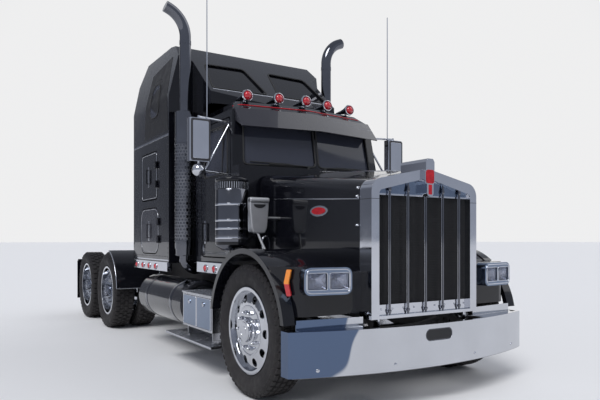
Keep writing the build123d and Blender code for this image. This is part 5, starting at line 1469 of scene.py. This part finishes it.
# ---- the truck's own panels ----------------------------------------------------
# node: finish, edge radius
PANELS = {"frame": ("chassis_black", 0.002), "front_axle": ("cast_metal", 0.004),
          "drive_axles": ("cast_metal", 0.004), "bumper": ("bumper_chrome_painted_reflection", 0.004),
          "side_lamp_panels": ("chrome", 0.004), "step_boxes": ("stainless", 0.004),
          "rear_guards": ("black_enamel", 0.002), "deck_plate": ("stainless", 0.002),
          "fifth_wheel_base": ("greased_steel", 0.004), "fifth_wheel_plate": ("greased_steel", 0.004),
          "cab_shell": ("black_enamel", 0.010), "visor": ("panel_enamel", 0.003),
          "sleeper_shell": ("black_enamel", 0.014), "hood": ("black_enamel", 0.006),
          "radiator_shell": ("chrome", 0.008), "fenders": ("black_enamel", 0.016),
          "headlamps": ("blued_steel", 0.008), "windows": ("tinted_glass", 0.001),}
for side, _ in SIDES:
    PANELS.update({f"door_{side}": ("black_enamel", 0.004), f"door_glass_{side}": ("side_glass", 0.001),
                   f"side_mirror_{side}": ("chrome", 0.006), f"vent_door_{side}": ("black_enamel", 0.005),
                   f"luggage_door_{side}": ("panel_enamel", 0.005),
                   f"front_wheel_{side}": ("wheel_metal", 0.003),
                   f"drive_wheels_1_{side}": ("wheel_metal", 0.003),
                   f"drive_wheels_2_{side}": ("wheel_metal", 0.003),
                   f"knuckle_{side}": ("cast_metal", 0.003)})

# nodes that keep their own mesh
KEPT = {"engine": "cast_metal", "radiator": "screen_black", "drive_shafts": "greased_steel",
        "suspension": "chassis_black", "tie_rod": "cast_metal", "cab_furniture": "moulded_trim",
        "steering_wheel": "moulded_trim", "grille": "screen_black", "turn_lamps": "amber_lens"}
for node, (finish, width) in PANELS.items():
    dress(node, finish, width)
for node, finish in KEPT.items():
    mesh = frame["nodes"][node].data
    mesh.materials.clear()
    mesh.materials.append(material(finish))


make_tyres()
make_wheel_fittings()
make_grille()
make_hood_fittings()
make_headlamps()
make_roof_lamps()
make_stacks()
make_air_cleaners()
make_tanks()
make_steps()
make_guard_edging()
make_bumper_trim()
make_cab_trim()
make_sleeper_trim()
make_mirrors()
make_seats()


# ---- camera, light and floor ---------------------------------------------------
VIEW_FROM = (-3.286, -7.048, 1.240)
VIEW_TURN = 0.555             # radians right of straight ahead
LENS = 35.29
HORIZON_SHIFT = 0.0673
FLAG_WAY = (-0.42, 0.90, 0.10)    # dark screen to the left of the pale backdrop


def camera():
    data = bpy.data.cameras.new("camera")
    data.lens = LENS
    data.sensor_width = 36.0
    data.shift_y = HORIZON_SHIFT
    held = in_scene("camera", data)
    held.location = VIEW_FROM
    held.rotation_euler = (math.pi / 2, 0, -VIEW_TURN)
    bpy.context.scene.camera = held


def floor():
    mesh = box((-400, -400, -0.05), (400, 400, -0.001))
    plain = bpy.data.materials.new("studio_floor")
    plain.use_nodes = True
    net = Net(plain.node_tree)
    shader = plain.node_tree.nodes["Principled BSDF"]
    net.put(shader, "Roughness", net.ranged(net.noise(net.place(), 0.4, 3.0), target=(0.75, 0.9)))
    shader.inputs["Base Color"].default_value = (0.80, 0.80, 0.81, 1)
    mesh.materials.append(plain)
    held = in_scene("studio_floor", mesh)


def sky():
    """Pale backdrop ahead of the camera, dimmer behind it and overhead, for bright metal to mirror."""
    world = bpy.data.worlds.new("studio")
    bpy.context.scene.world = world
    world.use_nodes = True
    net = Net(world.node_tree)
    back = world.node_tree.nodes["Background"]
    way = net.add("ShaderNodeTexCoord").outputs["Generated"]
    ahead = (math.sin(VIEW_TURN), math.cos(VIEW_TURN), 0.0)
    soft = {"interpolation_type": "SMOOTHSTEP"}
    share = net.add("ShaderNodeVectorMath", {0: way, 1: ahead}, operation="DOT_PRODUCT").outputs["Value"]
    level = net.mixed(net.ranged(share, (0.62, 0.86), **soft), (0.36, 0.39, 0.46, 1),
                      (0.86, 0.86, 0.865, 1))
    beside = net.add("ShaderNodeVectorMath", {0: way, 1: FLAG_WAY},
                     operation="DOT_PRODUCT").outputs["Value"]
    flagged = net.mixed(net.ranged(beside, (0.895, 0.965), **soft), level, (0.13, 0.14, 0.17, 1))
    rise = net.ranged(net.split(way)["Z"], (0.40, 0.62), **soft)
    net.put(back, "Color", net.mixed(rise, flagged, (0.30, 0.32, 0.37, 1)))
    back.inputs["Strength"].default_value = 1.0


def sun(name, way, strength, spread):
    data = bpy.data.lights.new(name, "SUN")
    data.energy = strength
    data.angle = math.radians(spread)
    held = in_scene(name, data)
    held.rotation_euler = Vector(way).to_track_quat("-Z", "Y").to_euler()


camera()
floor()
sky()
sun("key", (0.62, 0.50, -0.95), 2.0, 30)
sun("fill", (-0.75, 0.20, -0.70), 0.5, 50)
bpy.context.scene.view_settings.view_transform = "Standard"
